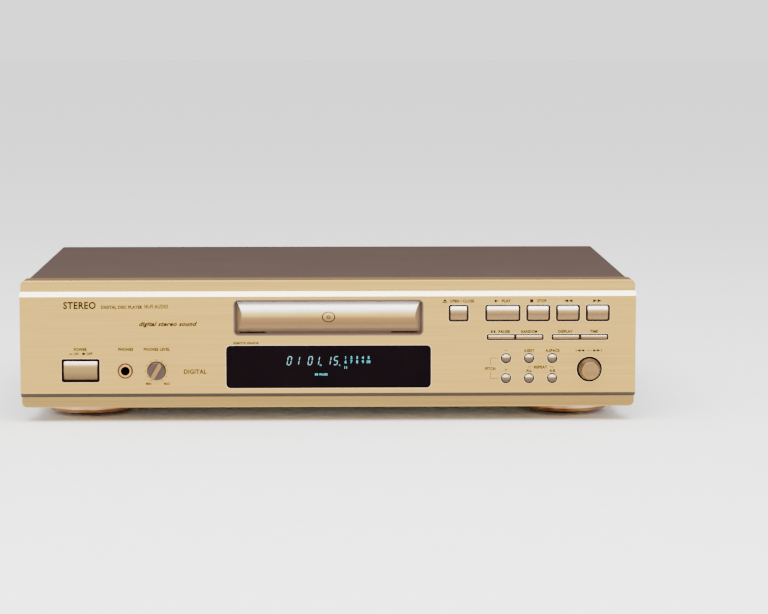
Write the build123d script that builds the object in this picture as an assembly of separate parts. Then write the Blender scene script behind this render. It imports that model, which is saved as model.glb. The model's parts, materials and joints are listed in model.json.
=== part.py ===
from build123d import *
from math import acos, cos, pi, radians, sin, sqrt, tan
import os

# A table-top compact disc player, in millimetres.
# X runs to the right of someone facing the player, Y runs from front to back, Z is up.
# The origin is on the table, under the middle of the player's outer box.

# ---- driving dimensions ------------------------------------------------------
WIDTH = 434.0            # front panel, the usual full width of hi-fi
HEIGHT = 101.0           # table to the top of the case
FOOT_HEIGHT = 11.0       # table to the underside of the case
FACE_Y = -140.0          # front surface of the main face
REAR_Y = 140.0           # outer surface of the rear panel
REACH = 9.0              # how far the jog knob and the phono sockets stand out
SHEET = 1.2              # sheet steel of the chassis

FASCIA_DEPTH = 24.0
STRIP_SET_BACK = 3.0     # strips above and below the main face lie this far behind it
MAIN_FACE_TOP = 89.9
MAIN_FACE_BOTTOM = 21.4
BEVEL_TOP = 93.2
BEVEL_BOTTOM = 18.5
FASCIA_WALL = 3.0
FASCIA_CORNER = 3.8
COVER_WIDTH = 427.0
COVER_SHEET = 1.0
COVER_BEND = 2.5         # outer radius of the cover's folds

FOOT_X = 172.5
FRONT_FOOT_Y = FACE_Y + 60.0
REAR_FOOT_Y = 98.0
FOOT_DIAMETER = 63.0
PAD_DIAMETER = 32.0
PAD_HEIGHT = 3.0

# Tray opening and door
BEZEL_Z = 74.8
BEZEL_WIDTH = 134.0
BEZEL_HEIGHT = 25.6
BEZEL_RADIUS = 3.5
DOOR_WIDTH = 129.6
DOOR_HEIGHT = 21.2
DOOR_Z = 75.3
DOOR_BULGE = 3.8
DOOR_BACK_Y = FACE_Y + 4.5

# Display window
WINDOW_Z = 40.0
WINDOW_WIDTH = 144.7
WINDOW_HEIGHT = 30.4
WINDOW_RADIUS = 3.2

# Disc mechanism
DISC_Y = -62.0           # centre of a disc on the closed tray
DISC_RECESS = 121.0
SMALL_DISC_RECESS = 81.0
TRAY_HALF = 63.0
TRAY_TOP = 77.5
TRAY_BOTTOM = 66.5
TRAY_FLOOR = 74.5        # where a disc lies
TRAY_UNDERSIDE = 72.5
TRAY_REAR_Y = 14.0
TRAY_RAIL_REAR_Y = 54.0
TRAY_TRAVEL = 140.0
LIFT = 8.0               # rise of the laser unit when it clamps a disc
CAM_SLOPE = 0.5          # rise of the laser unit for each millimetre the cam slides
SLED_TRAVEL = 35.0

# Gear train of the tray
RACK_MODULE = 1.5
RACK_PITCH_X = 49.0
DRIVE_TEETH = 20
WHEEL_MODULE = 1.0
WHEEL_TEETH = 32
PINION_TEETH = 12
GEAR_Y = -106.0
MOTOR_X = -40.0
BELT_GROOVE = 28.0       # diameter of the big pulley where the belt runs
MOTOR_GROOVE = 6.0

# Gear train of the sled
SLED_MODULE = 0.75
SLED_TEETH = 16
SLED_PITCH_X = 28.0
SLED_GEAR_Y = -9.0

# Controls on the front
PRESS = 0.8              # travel of the small buttons
POWER_PRESS = 3.5
CAP_FRONT_Y = FACE_Y - 1.2
DOME_FRONT_Y = FACE_Y - 1.8
CAP_GAP = 0.35           # between a cap and its dark frame
STEM_END_Y = FACE_Y + 8.6
GUIDE_BACK_Y = FACE_Y + 4.6
LARGE_ROW_Z = 77.8
LARGE_CAP_HEIGHT = 9.9
LARGE_FRAME_HEIGHT = 12.2
THIN_ROW_Z = 60.7
THIN_CAP_HEIGHT = 2.5
THIN_FRAME_HEIGHT = 4.4
THIN_CAP_WIDTH = 18.2
THIN_PAIR_PITCH = 19.8
THIN_FRAME_WIDTH = 40.5
DOME_DIAMETER = 5.9
DOME_FRAME_DIAMETER = 7.6
DOME_ROWS = (45.7, 31.5)
POWER_X, POWER_Z = -174.6, 37.7
JACK_X, JACK_Z = -143.2, 37.4
LEVEL_X, LEVEL_Z = -121.3, 37.4
JOG_X, JOG_Z = 184.3, 37.8
JACK_BORE = 6.45
JACK_DEPTH = 29.0
JOG_RECESS = 18.2
POWER_SWITCH_Y = -125.0
SHAFT = 6.0
SHAFT_END_Y = FACE_Y + 9.0
LEVEL_FRONT_Y = FACE_Y - 6.5

# name: (centre x, cap width, frame width)
LARGE_BUTTONS = {
    "open_close_button": (91.7, 11.4, 14.4),
    "play_button": (122.9, 22.3, 25.2),
    "stop_button": (147.9, 14.3, 17.3),
    "rewind_button": (168.9, 14.3, 17.3),
    "forward_button": (190.0, 14.3, 17.3),
}
# centre x of a pair: the names of its left and right keys
THIN_PAIRS = {131.7: ("pause_key", "random_key"), 177.5: ("display_key", "time_key")}
# name: (centre x, row)
DOME_BUTTONS = {
    "pitch_down_button": (125.3, 0),
    "edit_button": (141.6, 0),
    "space_button": (158.0, 0),
    "pitch_up_button": (125.3, 1),
    "repeat_button": (141.6, 1),
    "repeat_ab_button": (158.0, 1),
}

# Fasteners and sockets of the case
# Side screws of the cover: (y, z)
COVER_SCREWS = [(-70.0, 32.0), (95.0, 32.0)]
# Screws of the rear panel: (x, z)
REAR_SCREWS = [(-200.0, 92.0), (0.0, 92.0), (200.0, 92.0), (-205.0, 20.0), (205.0, 20.0)]
INLET_X, INLET_Z = -172.0, 40.0
INLET_WIDTH, INLET_HEIGHT = 24.0, 18.0
PHONO_X = 150.0
PHONO_Z = (38.0, 58.0)

# Circuit boards
BOARD_THICK = 1.6
BOARD_Y = -126.0         # front of the control board
BOARD_Z = 20.0           # underside of the boards on the chassis

# Loader frame, motors and shafts
STUD = 4.0
STUD_BORE = 4.12
DECK_Z0, DECK_Z1 = 56.0, 58.5
FRAME_INSIDE = 63.5
FRAME_OUTSIDE = 67.0
FRAME_FRONT_Y = -131.0
FRAME_REAR_Y = 59.0
GEAR_BACKLASH = 0.3
PULLEY_Z = (58.9, 59.5, 61.7, 62.3)
MOTOR_SHAFT = 2.0
MOTOR_BORE = 2.12
MOTOR_DIAMETER = 24.0
BRIDGE_Z0, BRIDGE_Z1 = 84.0, 85.2
PUCK_DIAMETER = 30.0

# Laser unit, at its low position
PLATE_Z0, PLATE_Z1 = 56.0, 58.0
PLATE_HALF = 44.0
PIN_X, PIN_Z, PIN = 22.0, 49.5, 3.0
ROD_X, ROD_Z, ROD = 20.5, 61.3, 3.0
GUIDE_POST_X, GUIDE_POST_Y, GUIDE_POST = 38.0, 22.0, 5.0
LENS_INNER = 23.0        # radius of the disc's first track
PLATTER_Z = 68.4
SLED_BACKLASH = 0.2

# ---- places worked out from the driving dimensions ---------------------------
HALF = WIDTH / 2
STRIP_Y = FACE_Y + STRIP_SET_BACK
FASCIA_BACK_Y = FACE_Y + FASCIA_DEPTH
COVER_HALF = COVER_WIDTH / 2
PAN_HALF = COVER_HALF - COVER_SHEET
PAN_TOP = FOOT_HEIGHT + SHEET
COVER_INSIDE = HEIGHT - COVER_SHEET
PLATE_Y = FASCIA_BACK_Y
REAR_INSIDE_Y = REAR_Y - SHEET
INNER_FACE_Y = FACE_Y + FASCIA_WALL
BEZEL_FLOOR_Y = DOOR_BACK_Y + 0.3
BEZEL_BACK_Y = BEZEL_FLOOR_Y + 1.3
DRIVE_RADIUS = RACK_MODULE * DRIVE_TEETH / 2
DRIVE_X = RACK_PITCH_X - DRIVE_RADIUS
TRAIN_DISTANCE = WHEEL_MODULE * (WHEEL_TEETH + PINION_TEETH) / 2
PULLEY_X = DRIVE_X - TRAIN_DISTANCE
SLED_RADIUS = SLED_MODULE * SLED_TEETH / 2
SLED_GEAR_X = SLED_PITCH_X + SLED_RADIUS
CAM_TRAVEL = LIFT / CAM_SLOPE


# ---- shapes used throughout --------------------------------------------------
def block(x0, x1, y0, y1, z0, z1):
    """A box between two opposite corners."""
    return Pos(x0, y0, z0) * Box(x1 - x0, y1 - y0, z1 - z0, align=(Align.MIN,) * 3)


def mirrored(x0, x1, y0, y1, z0, z1):
    """The same box on the right and on the left."""
    return block(x0, x1, y0, y1, z0, z1) + block(-x1, -x0, y0, y1, z0, z1)


def post(x, y, z0, z1, diameter):
    """An upright cylinder."""
    along = (Align.CENTER, Align.CENTER, Align.MIN)
    return Pos(x, y, z0) * Cylinder(diameter / 2, z1 - z0, align=along)


def barrel(x, z, y0, y1, diameter):
    """A cylinder that lies along Y."""
    along = (Align.CENTER, Align.CENTER, Align.MIN)
    return Pos(x, y0, z) * Rot(-90, 0, 0) * Cylinder(diameter / 2, y1 - y0, align=along)


def panel(x, z, width, height, radius, y0, y1):
    """A slab with rounded corners that faces the front."""
    face = Plane(origin=(x, y0, z), x_dir=(1, 0, 0), z_dir=(0, 1, 0))
    return extrude(face * RectangleRounded(width, height, radius), y1 - y0)


def gear_outline(module, teeth, backlash, turn=0.0):
    """An involute gear outline about the origin, with a tooth on +X when turn is 0."""
    pitch = module * teeth / 2
    base = pitch * cos(radians(20))
    root = pitch - 1.25 * module
    tip = pitch + module
    half_tooth = (pi * module / 2 - backlash) / 2 / pitch

    def spread(radius):
        """How far the flank has turned away from where it leaves the base circle."""
        if radius <= base:
            return 0.0
        angle = acos(base / radius)
        return tan(angle) - angle

    flank = [root] + [max(base, root) + (tip - max(base, root)) * step / 3 for step in range(4)]
    flank = [radius for number, radius in enumerate(flank) if number == 0 or radius > root + 0.01]
    offsets = [half_tooth + spread(pitch) - spread(radius) for radius in flank]
    points = []
    for tooth in range(teeth):
        middle = radians(turn) + 2 * pi * tooth / teeth
        sides = [(r, middle - a) for r, a in zip(flank, offsets)]
        sides += [(r, middle + a) for r, a in reversed(list(zip(flank, offsets)))]
        points += [(r * cos(a), r * sin(a)) for r, a in sides]
    return make_face(Polyline(*points, close=True))


def gear(x, y, z0, z1, module, teeth, backlash, turn=0.0):
    """An upright gear."""
    return extrude(Pos(x, y, z0) * gear_outline(module, teeth, backlash, turn), z1 - z0)


def rack(pitch_x, y0, count, z0, z1, module, backlash, towards):
    """A row of teeth along Y that point towards -X or +X; y0 is the middle of the first tooth."""
    slope = tan(radians(20))
    half_tooth = (pi * module / 2 - backlash) / 2
    root_half = half_tooth + 1.25 * module * slope
    tip_half = half_tooth - module * slope
    root_x = pitch_x - towards * 1.25 * module
    tip_x = pitch_x + towards * module
    teeth = Part()
    for number in range(count):
        y = y0 + number * pi * module
        corners = [(root_x, y - root_half), (tip_x, y - tip_half),
                   (tip_x, y + tip_half), (root_x, y + root_half)]
        teeth += extrude(Pos(0, 0, z0) * make_face(Polyline(*corners, close=True)), z1 - z0)
    return teeth


# ---- case --------------------------------------------------------------------
def fascia():
    """The gold front panel: a hollow moulding with a raised main face between two strips."""
    side_inset = 0.4
    strip = [(STRIP_Y, FOOT_HEIGHT), (STRIP_Y, HEIGHT), (FASCIA_BACK_Y, HEIGHT), (FASCIA_BACK_Y, FOOT_HEIGHT)]
    raised = [
        (STRIP_Y, BEVEL_BOTTOM), (FACE_Y, MAIN_FACE_BOTTOM), (FACE_Y, MAIN_FACE_TOP), (STRIP_Y, BEVEL_TOP),
        (STRIP_Y + 1, BEVEL_TOP), (STRIP_Y + 1, BEVEL_BOTTOM),
    ]

    def swept(outline, half_width):
        """An outline in the YZ plane, drawn out from left to right."""
        side = Plane(origin=(-half_width, 0, 0), x_dir=(0, 1, 0), z_dir=(1, 0, 0))
        return extrude(side * make_face(Polyline(*outline, close=True)), 2 * half_width)

    shell = swept(strip, HALF - side_inset)
    shell = fillet(shell.edges().filter_by(Axis.Y), FASCIA_CORNER)
    shell = chamfer(shell.faces().sort_by(Axis.Y)[0].edges(), 0.6)
    body = shell + swept(raised, HALF)
    inner = HALF - side_inset - FASCIA_WALL - 1
    body -= block(-inner, inner, STRIP_Y + FASCIA_WALL, FASCIA_BACK_Y + 1,
                  FOOT_HEIGHT + FASCIA_WALL, HEIGHT - FASCIA_WALL)
    body -= block(-inner, inner, INNER_FACE_Y, STRIP_Y + FASCIA_WALL + 1,
                  MAIN_FACE_BOTTOM + 2.4, MAIN_FACE_TOP - 1.4)
    # Openings through the main face
    y0, y1 = FACE_Y - 1, INNER_FACE_Y + 1
    body -= panel(0, BEZEL_Z, BEZEL_WIDTH, BEZEL_HEIGHT, BEZEL_RADIUS, y0, y1)
    body -= panel(0, WINDOW_Z, WINDOW_WIDTH, WINDOW_HEIGHT, WINDOW_RADIUS, y0, y1)
    for x, _, width in LARGE_BUTTONS.values():
        body -= panel(x, LARGE_ROW_Z, width, LARGE_FRAME_HEIGHT, 2.0, y0, y1)
    for x in THIN_PAIRS:
        body -= panel(x, THIN_ROW_Z, THIN_FRAME_WIDTH, THIN_FRAME_HEIGHT, 1.2, y0, y1)
    for x, row in DOME_BUTTONS.values():
        body -= barrel(x, DOME_ROWS[row], y0, y1, DOME_FRAME_DIAMETER)
    body -= panel(POWER_X, POWER_Z, 27.0, 16.8, 1.5, y0, y1)
    body -= barrel(JACK_X, JACK_Z, y0, y1, 10.9)
    body -= barrel(LEVEL_X, LEVEL_Z, y0, y1, 7.4)
    body -= barrel(JOG_X, JOG_Z, y0, y1, JOG_RECESS)
    return body


def top_cover():
    """A folded steel cover: top and two sides, closed over the rear panel's edge."""
    front, back = FASCIA_BACK_Y, REAR_Y
    outer = block(-COVER_HALF, COVER_HALF, front, back, FOOT_HEIGHT + 2.5, HEIGHT)
    outer = fillet(outer.edges().filter_by(Axis.Y).group_by(Axis.Z)[-1], COVER_BEND)
    inner = block(-PAN_HALF, PAN_HALF, front - 1, back + 1, 0, COVER_INSIDE)
    inner = fillet(inner.edges().filter_by(Axis.Y).group_by(Axis.Z)[-1], COVER_BEND - COVER_SHEET)
    cover = outer - inner
    # Rows of cooling slots in the sides
    for number in range(10):
        y = 10 + 9.0 * number
        cover -= mirrored(PAN_HALF - 1, COVER_HALF + 1, y, y + 2.6, 62, 84)
    for y, z in COVER_SCREWS:
        for side in (-1, 1):
            cover -= Pos(side * COVER_HALF, y, z) * Rot(0, 90, 0) * Cylinder(2.1, 6)
    return cover


def base_pan():
    """The folded bottom of the chassis, with side walls inside the cover."""
    pan = block(-PAN_HALF, PAN_HALF, PLATE_Y, REAR_INSIDE_Y, FOOT_HEIGHT, PAN_TOP)
    pan += mirrored(PAN_HALF - SHEET, PAN_HALF, PLATE_Y, REAR_INSIDE_Y, FOOT_HEIGHT, 42)
    for number in range(9):
        x = 110 + 9.0 * number
        pan -= block(x, x + 3, 30, 75, FOOT_HEIGHT - 1, PAN_TOP + 1)
    for x in (-FOOT_X, FOOT_X):
        for y in (FRONT_FOOT_Y, REAR_FOOT_Y):
            pan -= post(x, y, FOOT_HEIGHT - 1, PAN_TOP + 1, 4.2)
    for y, z in COVER_SCREWS:
        for side in (-1, 1):
            pan -= Pos(side * PAN_HALF, y, z) * Rot(0, 90, 0) * Cylinder(1.6, 6)
    return pan


def front_plate():
    """The steel plate behind the front panel that the loader and the controls reach through."""
    plate = block(-PAN_HALF + SHEET, PAN_HALF - SHEET, PLATE_Y, PLATE_Y + SHEET, PAN_TOP, COVER_INSIDE)
    y0, y1 = PLATE_Y - 1, PLATE_Y + SHEET + 1
    plate -= block(-69.5, 69.5, y0, y1, 33, 92)
    plate -= block(POWER_X - 9, POWER_X + 9, y0, y1, POWER_Z - 9, POWER_Z + 9)
    plate -= block(JACK_X - 9, JACK_X + 9, y0, y1, JACK_Z - 9, JACK_Z + 9)
    for x in (-120, -95, 95, 150):
        plate -= block(x - 8, x + 8, y0, y1, 72, 88)
    return plate


def rear_panel():
    """The steel rear panel with the openings for its sockets."""
    plate = block(-PAN_HALF, PAN_HALF, REAR_INSIDE_Y, REAR_Y, FOOT_HEIGHT, COVER_INSIDE)
    plate = fillet(plate.edges().filter_by(Axis.Y).group_by(Axis.Z)[-1], COVER_BEND)
    y0, y1 = REAR_INSIDE_Y - 1, REAR_Y + 1
    plate -= panel(INLET_X, INLET_Z, INLET_WIDTH, INLET_HEIGHT, 1.5, y0, y1)
    for z in PHONO_Z:
        plate -= barrel(PHONO_X, z, y0, y1, 10.2)
    for x, z in REAR_SCREWS:
        plate -= barrel(x, z, y0, y1, 3.2)
    for number in range(12):
        x = -90 + 8.0 * number
        plate -= block(x, x + 3, y0, y1, 60, 82)
    return plate


def feet():
    """Four turned feet with a sloping skirt."""
    rings = []
    for y in (FRONT_FOOT_Y, REAR_FOOT_Y):
        for x in (-FOOT_X, FOOT_X):
            ring = post(x, y, PAD_HEIGHT, FOOT_HEIGHT, FOOT_DIAMETER)
            ring = chamfer(ring.edges().group_by(Axis.Z)[0], 2.5, 2.0)
            ring = fillet(ring.edges().group_by(Axis.Z)[-1], 0.8)
            ring -= post(x, y, PAD_HEIGHT - 1, PAD_HEIGHT + 4, 12)
            ring -= post(x, y, PAD_HEIGHT, FOOT_HEIGHT + 1, 4.2)
            rings.append(ring)
    return rings


def foot_pads():
    """A rubber pad under each foot, with a hole for its screw."""
    pads = []
    for y in (FRONT_FOOT_Y, REAR_FOOT_Y):
        for x in (-FOOT_X, FOOT_X):
            pad = post(x, y, 0, PAD_HEIGHT, PAD_DIAMETER)
            pad = fillet(pad.edges().group_by(Axis.Z)[0], 0.8)
            pads.append(pad - post(x, y, -1, PAD_HEIGHT + 1, 12))
    return pads


def case_screws():
    """Pan-head screws of the feet, the cover's sides and the rear panel."""
    head, head_height, shank, length = 7.0, 2.2, 3.0, 9.0
    origin = Cylinder(head / 2, head_height, align=(Align.CENTER, Align.CENTER, Align.MIN))
    origin = fillet(origin.edges().group_by(Axis.Z)[-1], 1.2)
    origin -= Pos(0, 0, 1.2) * (Box(4.4, 0.9, 3) + Box(0.9, 4.4, 3))
    origin += Pos(0, 0, -length) * Cylinder(shank / 2, length, align=(Align.CENTER, Align.CENTER, Align.MIN))
    screws = []
    for y in (FRONT_FOOT_Y, REAR_FOOT_Y):
        for x in (-FOOT_X, FOOT_X):
            screws.append(Pos(x, y, PAD_HEIGHT + 4) * Rot(180, 0, 0) * origin)
    for y, z in COVER_SCREWS:
        for side in (-1, 1):
            screws.append(Pos(side * COVER_HALF, y, z) * Rot(0, 90 * side, 0) * origin)
    for x, z in REAR_SCREWS:
        screws.append(Pos(x, REAR_Y, z) * Rot(-90, 0, 0) * origin)
    return screws


# ---- front panel pieces ------------------------------------------------------
def tray_bezel():
    """The moulded frame of the tray opening, with a floor that the tray passes through."""
    wall = 0.8
    frame = panel(0, BEZEL_Z, BEZEL_WIDTH, BEZEL_HEIGHT, BEZEL_RADIUS, FACE_Y, BEZEL_BACK_Y)
    frame -= panel(0, BEZEL_Z, BEZEL_WIDTH - 2 * wall, BEZEL_HEIGHT - 2 * wall, BEZEL_RADIUS - wall,
                   FACE_Y - 1, BEZEL_FLOOR_Y)
    margin = 0.8
    y0, y1 = BEZEL_FLOOR_Y - 1, BEZEL_BACK_Y + 1
    frame -= block(-TRAY_HALF - margin, TRAY_HALF + margin, y0, y1, TRAY_BOTTOM - margin, TRAY_TOP + margin)
    frame -= mirrored(44.2, 62.7, y0, y1, 63.5, TRAY_BOTTOM)
    frame += mirrored(BEZEL_WIDTH / 2 - 4, BEZEL_WIDTH / 2 + 2, INNER_FACE_Y, BEZEL_BACK_Y,
                      BEZEL_Z - 6, BEZEL_Z + 6) - block(-66, 66, INNER_FACE_Y - 1, BEZEL_FLOOR_Y, 60, 90)
    return frame


def display_window():
    """The dark window, with a flange that holds it against the back of the panel."""
    front_y = FACE_Y + 0.4
    lens = panel(0, WINDOW_Z, WINDOW_WIDTH, WINDOW_HEIGHT, WINDOW_RADIUS, front_y, INNER_FACE_Y)
    lens = chamfer(lens.faces().sort_by(Axis.Y)[0].edges(), 0.5)
    flange = block(-WINDOW_WIDTH / 2 - 3, WINDOW_WIDTH / 2 + 3, INNER_FACE_Y, INNER_FACE_Y + 1,
                   WINDOW_Z - WINDOW_HEIGHT / 2 - 0.4, WINDOW_Z + WINDOW_HEIGHT / 2 + 1.5)
    return lens + flange


def display_tube():
    """The flat glass fluorescent tube behind the window, with its two rows of leads."""
    body = block(-66, 66, -134, BOARD_Y - 1.2, 29, 51)
    body = chamfer(body.faces().sort_by(Axis.Y)[0].edges(), 0.6)
    pump = barrel(-60, 54, -131, -128, 4) + block(-61, -59, -131, -128, 50.5, 54)
    tube = body + pump
    for number in range(22):
        x = -60 + 5.6 * number
        tube += block(x, x + 0.6, BOARD_Y - 2.4, BOARD_Y, 27.2, 30)
    return tube


def control_board():
    """The circuit board of the front panel: low behind the display, high on the right."""
    board = block(-105, 206, BOARD_Y, BOARD_Y + BOARD_THICK, 16, 55)
    board += block(78, 206, BOARD_Y, BOARD_Y + BOARD_THICK, 55, 95)
    for x, z in ((-98, 22), (198, 22), (198, 90), (86, 90)):
        board -= barrel(x, z, BOARD_Y - 1, BOARD_Y + 3, 3.2)
    back = BOARD_Y + BOARD_THICK
    board += block(-20, 4, back, back + 2.4, 30, 46)
    board += block(30, 70, back, back + 5, 20, 26)
    board += block(-58, -52, BOARD_Y - 3, BOARD_Y, 18, 26)
    return board


def key_guide():
    """The dark plate behind the keys; its collars frame each key in the front panel."""
    plate = block(80, 203, INNER_FACE_Y, GUIDE_BACK_Y, 25.0, 86.5)
    collar_front = FACE_Y + 0.6
    y0 = collar_front - 1
    y1 = GUIDE_BACK_Y + 1
    gap = 2 * CAP_GAP
    for x, cap, width in LARGE_BUTTONS.values():
        plate += panel(x, LARGE_ROW_Z, width, LARGE_FRAME_HEIGHT, 2.0, collar_front, INNER_FACE_Y)
        plate -= panel(x, LARGE_ROW_Z, cap + gap, LARGE_CAP_HEIGHT + gap, 1.3, y0, y1)
    for x in THIN_PAIRS:
        plate += panel(x, THIN_ROW_Z, THIN_FRAME_WIDTH, THIN_FRAME_HEIGHT, 1.2, collar_front, INNER_FACE_Y)
        for side in (-1, 1):
            centre = x + side * THIN_PAIR_PITCH / 2
            plate -= panel(centre, THIN_ROW_Z, THIN_CAP_WIDTH + gap, THIN_CAP_HEIGHT + gap, 0.8, y0, y1)
    for x, row in DOME_BUTTONS.values():
        plate += barrel(x, DOME_ROWS[row], collar_front, INNER_FACE_Y, DOME_FRAME_DIAMETER)
        plate -= barrel(x, DOME_ROWS[row], y0, y1, DOME_DIAMETER + gap)
    plate -= barrel(JOG_X, JOG_Z, y0, y1, 9)
    return plate


def crowned(x, z, width, height, radius, bulge, front_y, back_y):
    """A rounded panel whose front bulges forward like the side of a barrel."""
    edge_y = front_y + bulge
    half = height / 2
    front = ThreePointArc((edge_y, z - half), (front_y, z), (edge_y, z + half))
    back = Polyline((edge_y, z + half), (back_y, z + half), (back_y, z - half), (edge_y, z - half))
    side = Plane(origin=(x - width / 2, 0, 0), x_dir=(0, 1, 0), z_dir=(1, 0, 0))
    bar = extrude(side * make_face([front, *back.edges()]), width)
    cap = bar & panel(x, z, width, height, radius, front_y - 1, back_y)
    return fillet(cap.faces().sort_by(Axis.Y)[0].edges(), 0.3)


def key(x, z, width, height, radius, bulge):
    """A key cap with a bulging front, a flange that keeps it in its frame, and a stem."""
    cap = crowned(x, z, width, height, radius, bulge, CAP_FRONT_Y, GUIDE_BACK_Y + 0.3)
    flange = block(x - width / 2 - 0.6, x + width / 2 + 0.6, GUIDE_BACK_Y + 0.3, GUIDE_BACK_Y + 1.3,
                   z - height / 2 - 0.6, z + height / 2 + 0.6)
    return cap + flange + barrel(x, z, GUIDE_BACK_Y + 1.3, STEM_END_Y, 3)


def dome_key(x, z):
    """A small round key with a domed front."""
    dome = 4.3
    cap = barrel(x, z, DOME_FRONT_Y, GUIDE_BACK_Y + 0.3, DOME_DIAMETER)
    behind = barrel(x, z, DOME_FRONT_Y + dome, GUIDE_BACK_Y + 0.3, 2 * dome)
    cap &= Pos(x, DOME_FRONT_Y + dome, z) * Sphere(dome) + behind
    flange = barrel(x, z, GUIDE_BACK_Y + 0.3, GUIDE_BACK_Y + 1.3, DOME_DIAMETER + 1.6)
    return cap + flange + barrel(x, z, GUIDE_BACK_Y + 1.3, STEM_END_Y, 3)


def keys():
    """Every key of the front panel, with the place of its stem."""
    made = {}
    for name, (x, cap, _) in LARGE_BUTTONS.items():
        made[name] = key(x, LARGE_ROW_Z, cap, LARGE_CAP_HEIGHT, 1.0, 2.0), x, LARGE_ROW_Z
    for x, names in THIN_PAIRS.items():
        for side, name in zip((-1, 1), names):
            centre = x + side * THIN_PAIR_PITCH / 2
            cap = key(centre, THIN_ROW_Z, THIN_CAP_WIDTH, THIN_CAP_HEIGHT, 0.6, 0.5)
            made[name] = cap, centre, THIN_ROW_Z
    for name, (x, row) in DOME_BUTTONS.items():
        made[name] = dome_key(x, DOME_ROWS[row]), x, DOME_ROWS[row]
    return made


def tact_switches(places):
    """A small push switch on the board behind each key stem."""
    switches = []
    plunger_y = STEM_END_Y + PRESS + 0.1
    for x, z in places:
        body = block(x - 3, x + 3, plunger_y + 0.8, BOARD_Y, z - 3, z + 3)
        switches.append(body + barrel(x, z, plunger_y, plunger_y + 0.8, 3.4))
    return switches


def power_button():
    """The wide power button, with the rod that works the mains switch."""
    cap = crowned(POWER_X, POWER_Z, 23.4, 13, 0.9, 2.2, FACE_Y - 1.4, FACE_Y + 5.2)
    flange = block(POWER_X - 14.2, POWER_X + 14.2, FACE_Y + 4.2, FACE_Y + 5.2, POWER_Z - 9.3, POWER_Z + 9.3)
    return cap + flange + barrel(POWER_X, POWER_Z, FACE_Y + 5.2, POWER_SWITCH_Y + 6, 4)


def power_switch():
    """The latching mains switch; the button's rod runs in its bore."""
    length = 20
    body = block(POWER_X - 7.5, POWER_X + 7.5, POWER_SWITCH_Y, POWER_SWITCH_Y + length,
                 POWER_Z - 6.5, POWER_Z + 6.5)
    body -= barrel(POWER_X, POWER_Z, POWER_SWITCH_Y - 1, POWER_SWITCH_Y + 6 + POWER_PRESS + 0.5, 4.8)
    for number in range(4):
        z = POWER_Z - 4.5 + 3 * number
        body += block(POWER_X - 0.4, POWER_X + 0.4, POWER_SWITCH_Y + length, POWER_SWITCH_Y + length + 4,
                      z - 0.9, z + 0.9)
    return body


def headphone_jack():
    """The 6.35 mm headphone socket with its round nose in the panel."""
    half = 7.5
    body = block(JACK_X - half, JACK_X + half, INNER_FACE_Y, FACE_Y + JACK_DEPTH + 2,
                 JACK_Z - half, JACK_Z + half)
    body += barrel(JACK_X, JACK_Z, FACE_Y - 0.3, INNER_FACE_Y, 10.9)
    return body - barrel(JACK_X, JACK_Z, FACE_Y - 1, FACE_Y + JACK_DEPTH, JACK_BORE)


def jack_ring():
    """The bright ring round the headphone socket's mouth."""
    ring = barrel(JACK_X, JACK_Z, FACE_Y - 1.0, FACE_Y - 0.3, 8.9)
    ring = chamfer(ring.faces().sort_by(Axis.Y)[0].edges(), 0.3)
    return ring - barrel(JACK_X, JACK_Z, FACE_Y - 2, FACE_Y + 1, JACK_BORE)


def level_knob():
    """The headphone level knob: a round skirt and a raised grip bar, at its lowest setting."""
    skirt = barrel(LEVEL_X, LEVEL_Z, FACE_Y - 3.2, FACE_Y - 0.5, 12.4)
    skirt = fillet(skirt.faces().sort_by(Axis.Y)[0].edges(), 0.8)
    bar = panel(0, 0, 11.2, 3.2, 1.2, LEVEL_FRONT_Y, FACE_Y - 3.2)
    bar = fillet(bar.faces().sort_by(Axis.Y)[0].edges(), 0.7)
    bar = Pos(LEVEL_X, 0, LEVEL_Z) * Rot(0, -60, 0) * bar
    return skirt + bar + barrel(LEVEL_X, LEVEL_Z, FACE_Y - 0.5, SHAFT_END_Y - 2, SHAFT)


def bushed_control(x, z, width, bush_y):
    """A rotary control: a threaded bush round its shaft and a square body behind."""
    half = width / 2
    body = block(x - half, x + half, INNER_FACE_Y + 3, SHAFT_END_Y + 2, z - half, z + half)
    body += barrel(x, z, bush_y, INNER_FACE_Y + 3, 7.2)
    return body - barrel(x, z, bush_y - 1, SHAFT_END_Y, SHAFT + 0.12)


def jog_knob():
    """The tapered jog knob with a fluted rim and a dished front."""
    front_y = FACE_Y - REACH
    base = 15.6
    front = 12.2
    knob = barrel(JOG_X, JOG_Z, front_y, FACE_Y + 1.2, base)
    knob = chamfer(knob.faces().sort_by(Axis.Y)[0].edges(), REACH - 1.5, (base - front) / 2)
    knob = fillet(knob.faces().sort_by(Axis.Y)[0].edges(), 0.8)
    knob -= Pos(JOG_X, front_y - 13.2, JOG_Z) * Sphere(14.0)
    return knob + barrel(JOG_X, JOG_Z, FACE_Y + 1.2, SHAFT_END_Y - 2, SHAFT)


# ---- electronics -------------------------------------------------------------
def transformer():
    """The mains transformer: a laminated core, a wound coil and its mounting ears."""
    x, y = -150, -45
    core = block(x - 27, x + 27, y - 14, y + 14, PAN_TOP + 1.5, PAN_TOP + 47)
    coil = block(x - 17, x + 17, y - 23, y + 23, PAN_TOP + 10, PAN_TOP + 38)
    coil = fillet(coil.edges().filter_by(Axis.Z), 5)
    ears = block(x - 38, x + 38, y - 14, y + 14, PAN_TOP, PAN_TOP + 1.5)
    for side in (-1, 1):
        ears -= post(x + 32.5 * side, y, PAN_TOP - 1, PAN_TOP + 3, 4.2)
    return core + coil + ears


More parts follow.
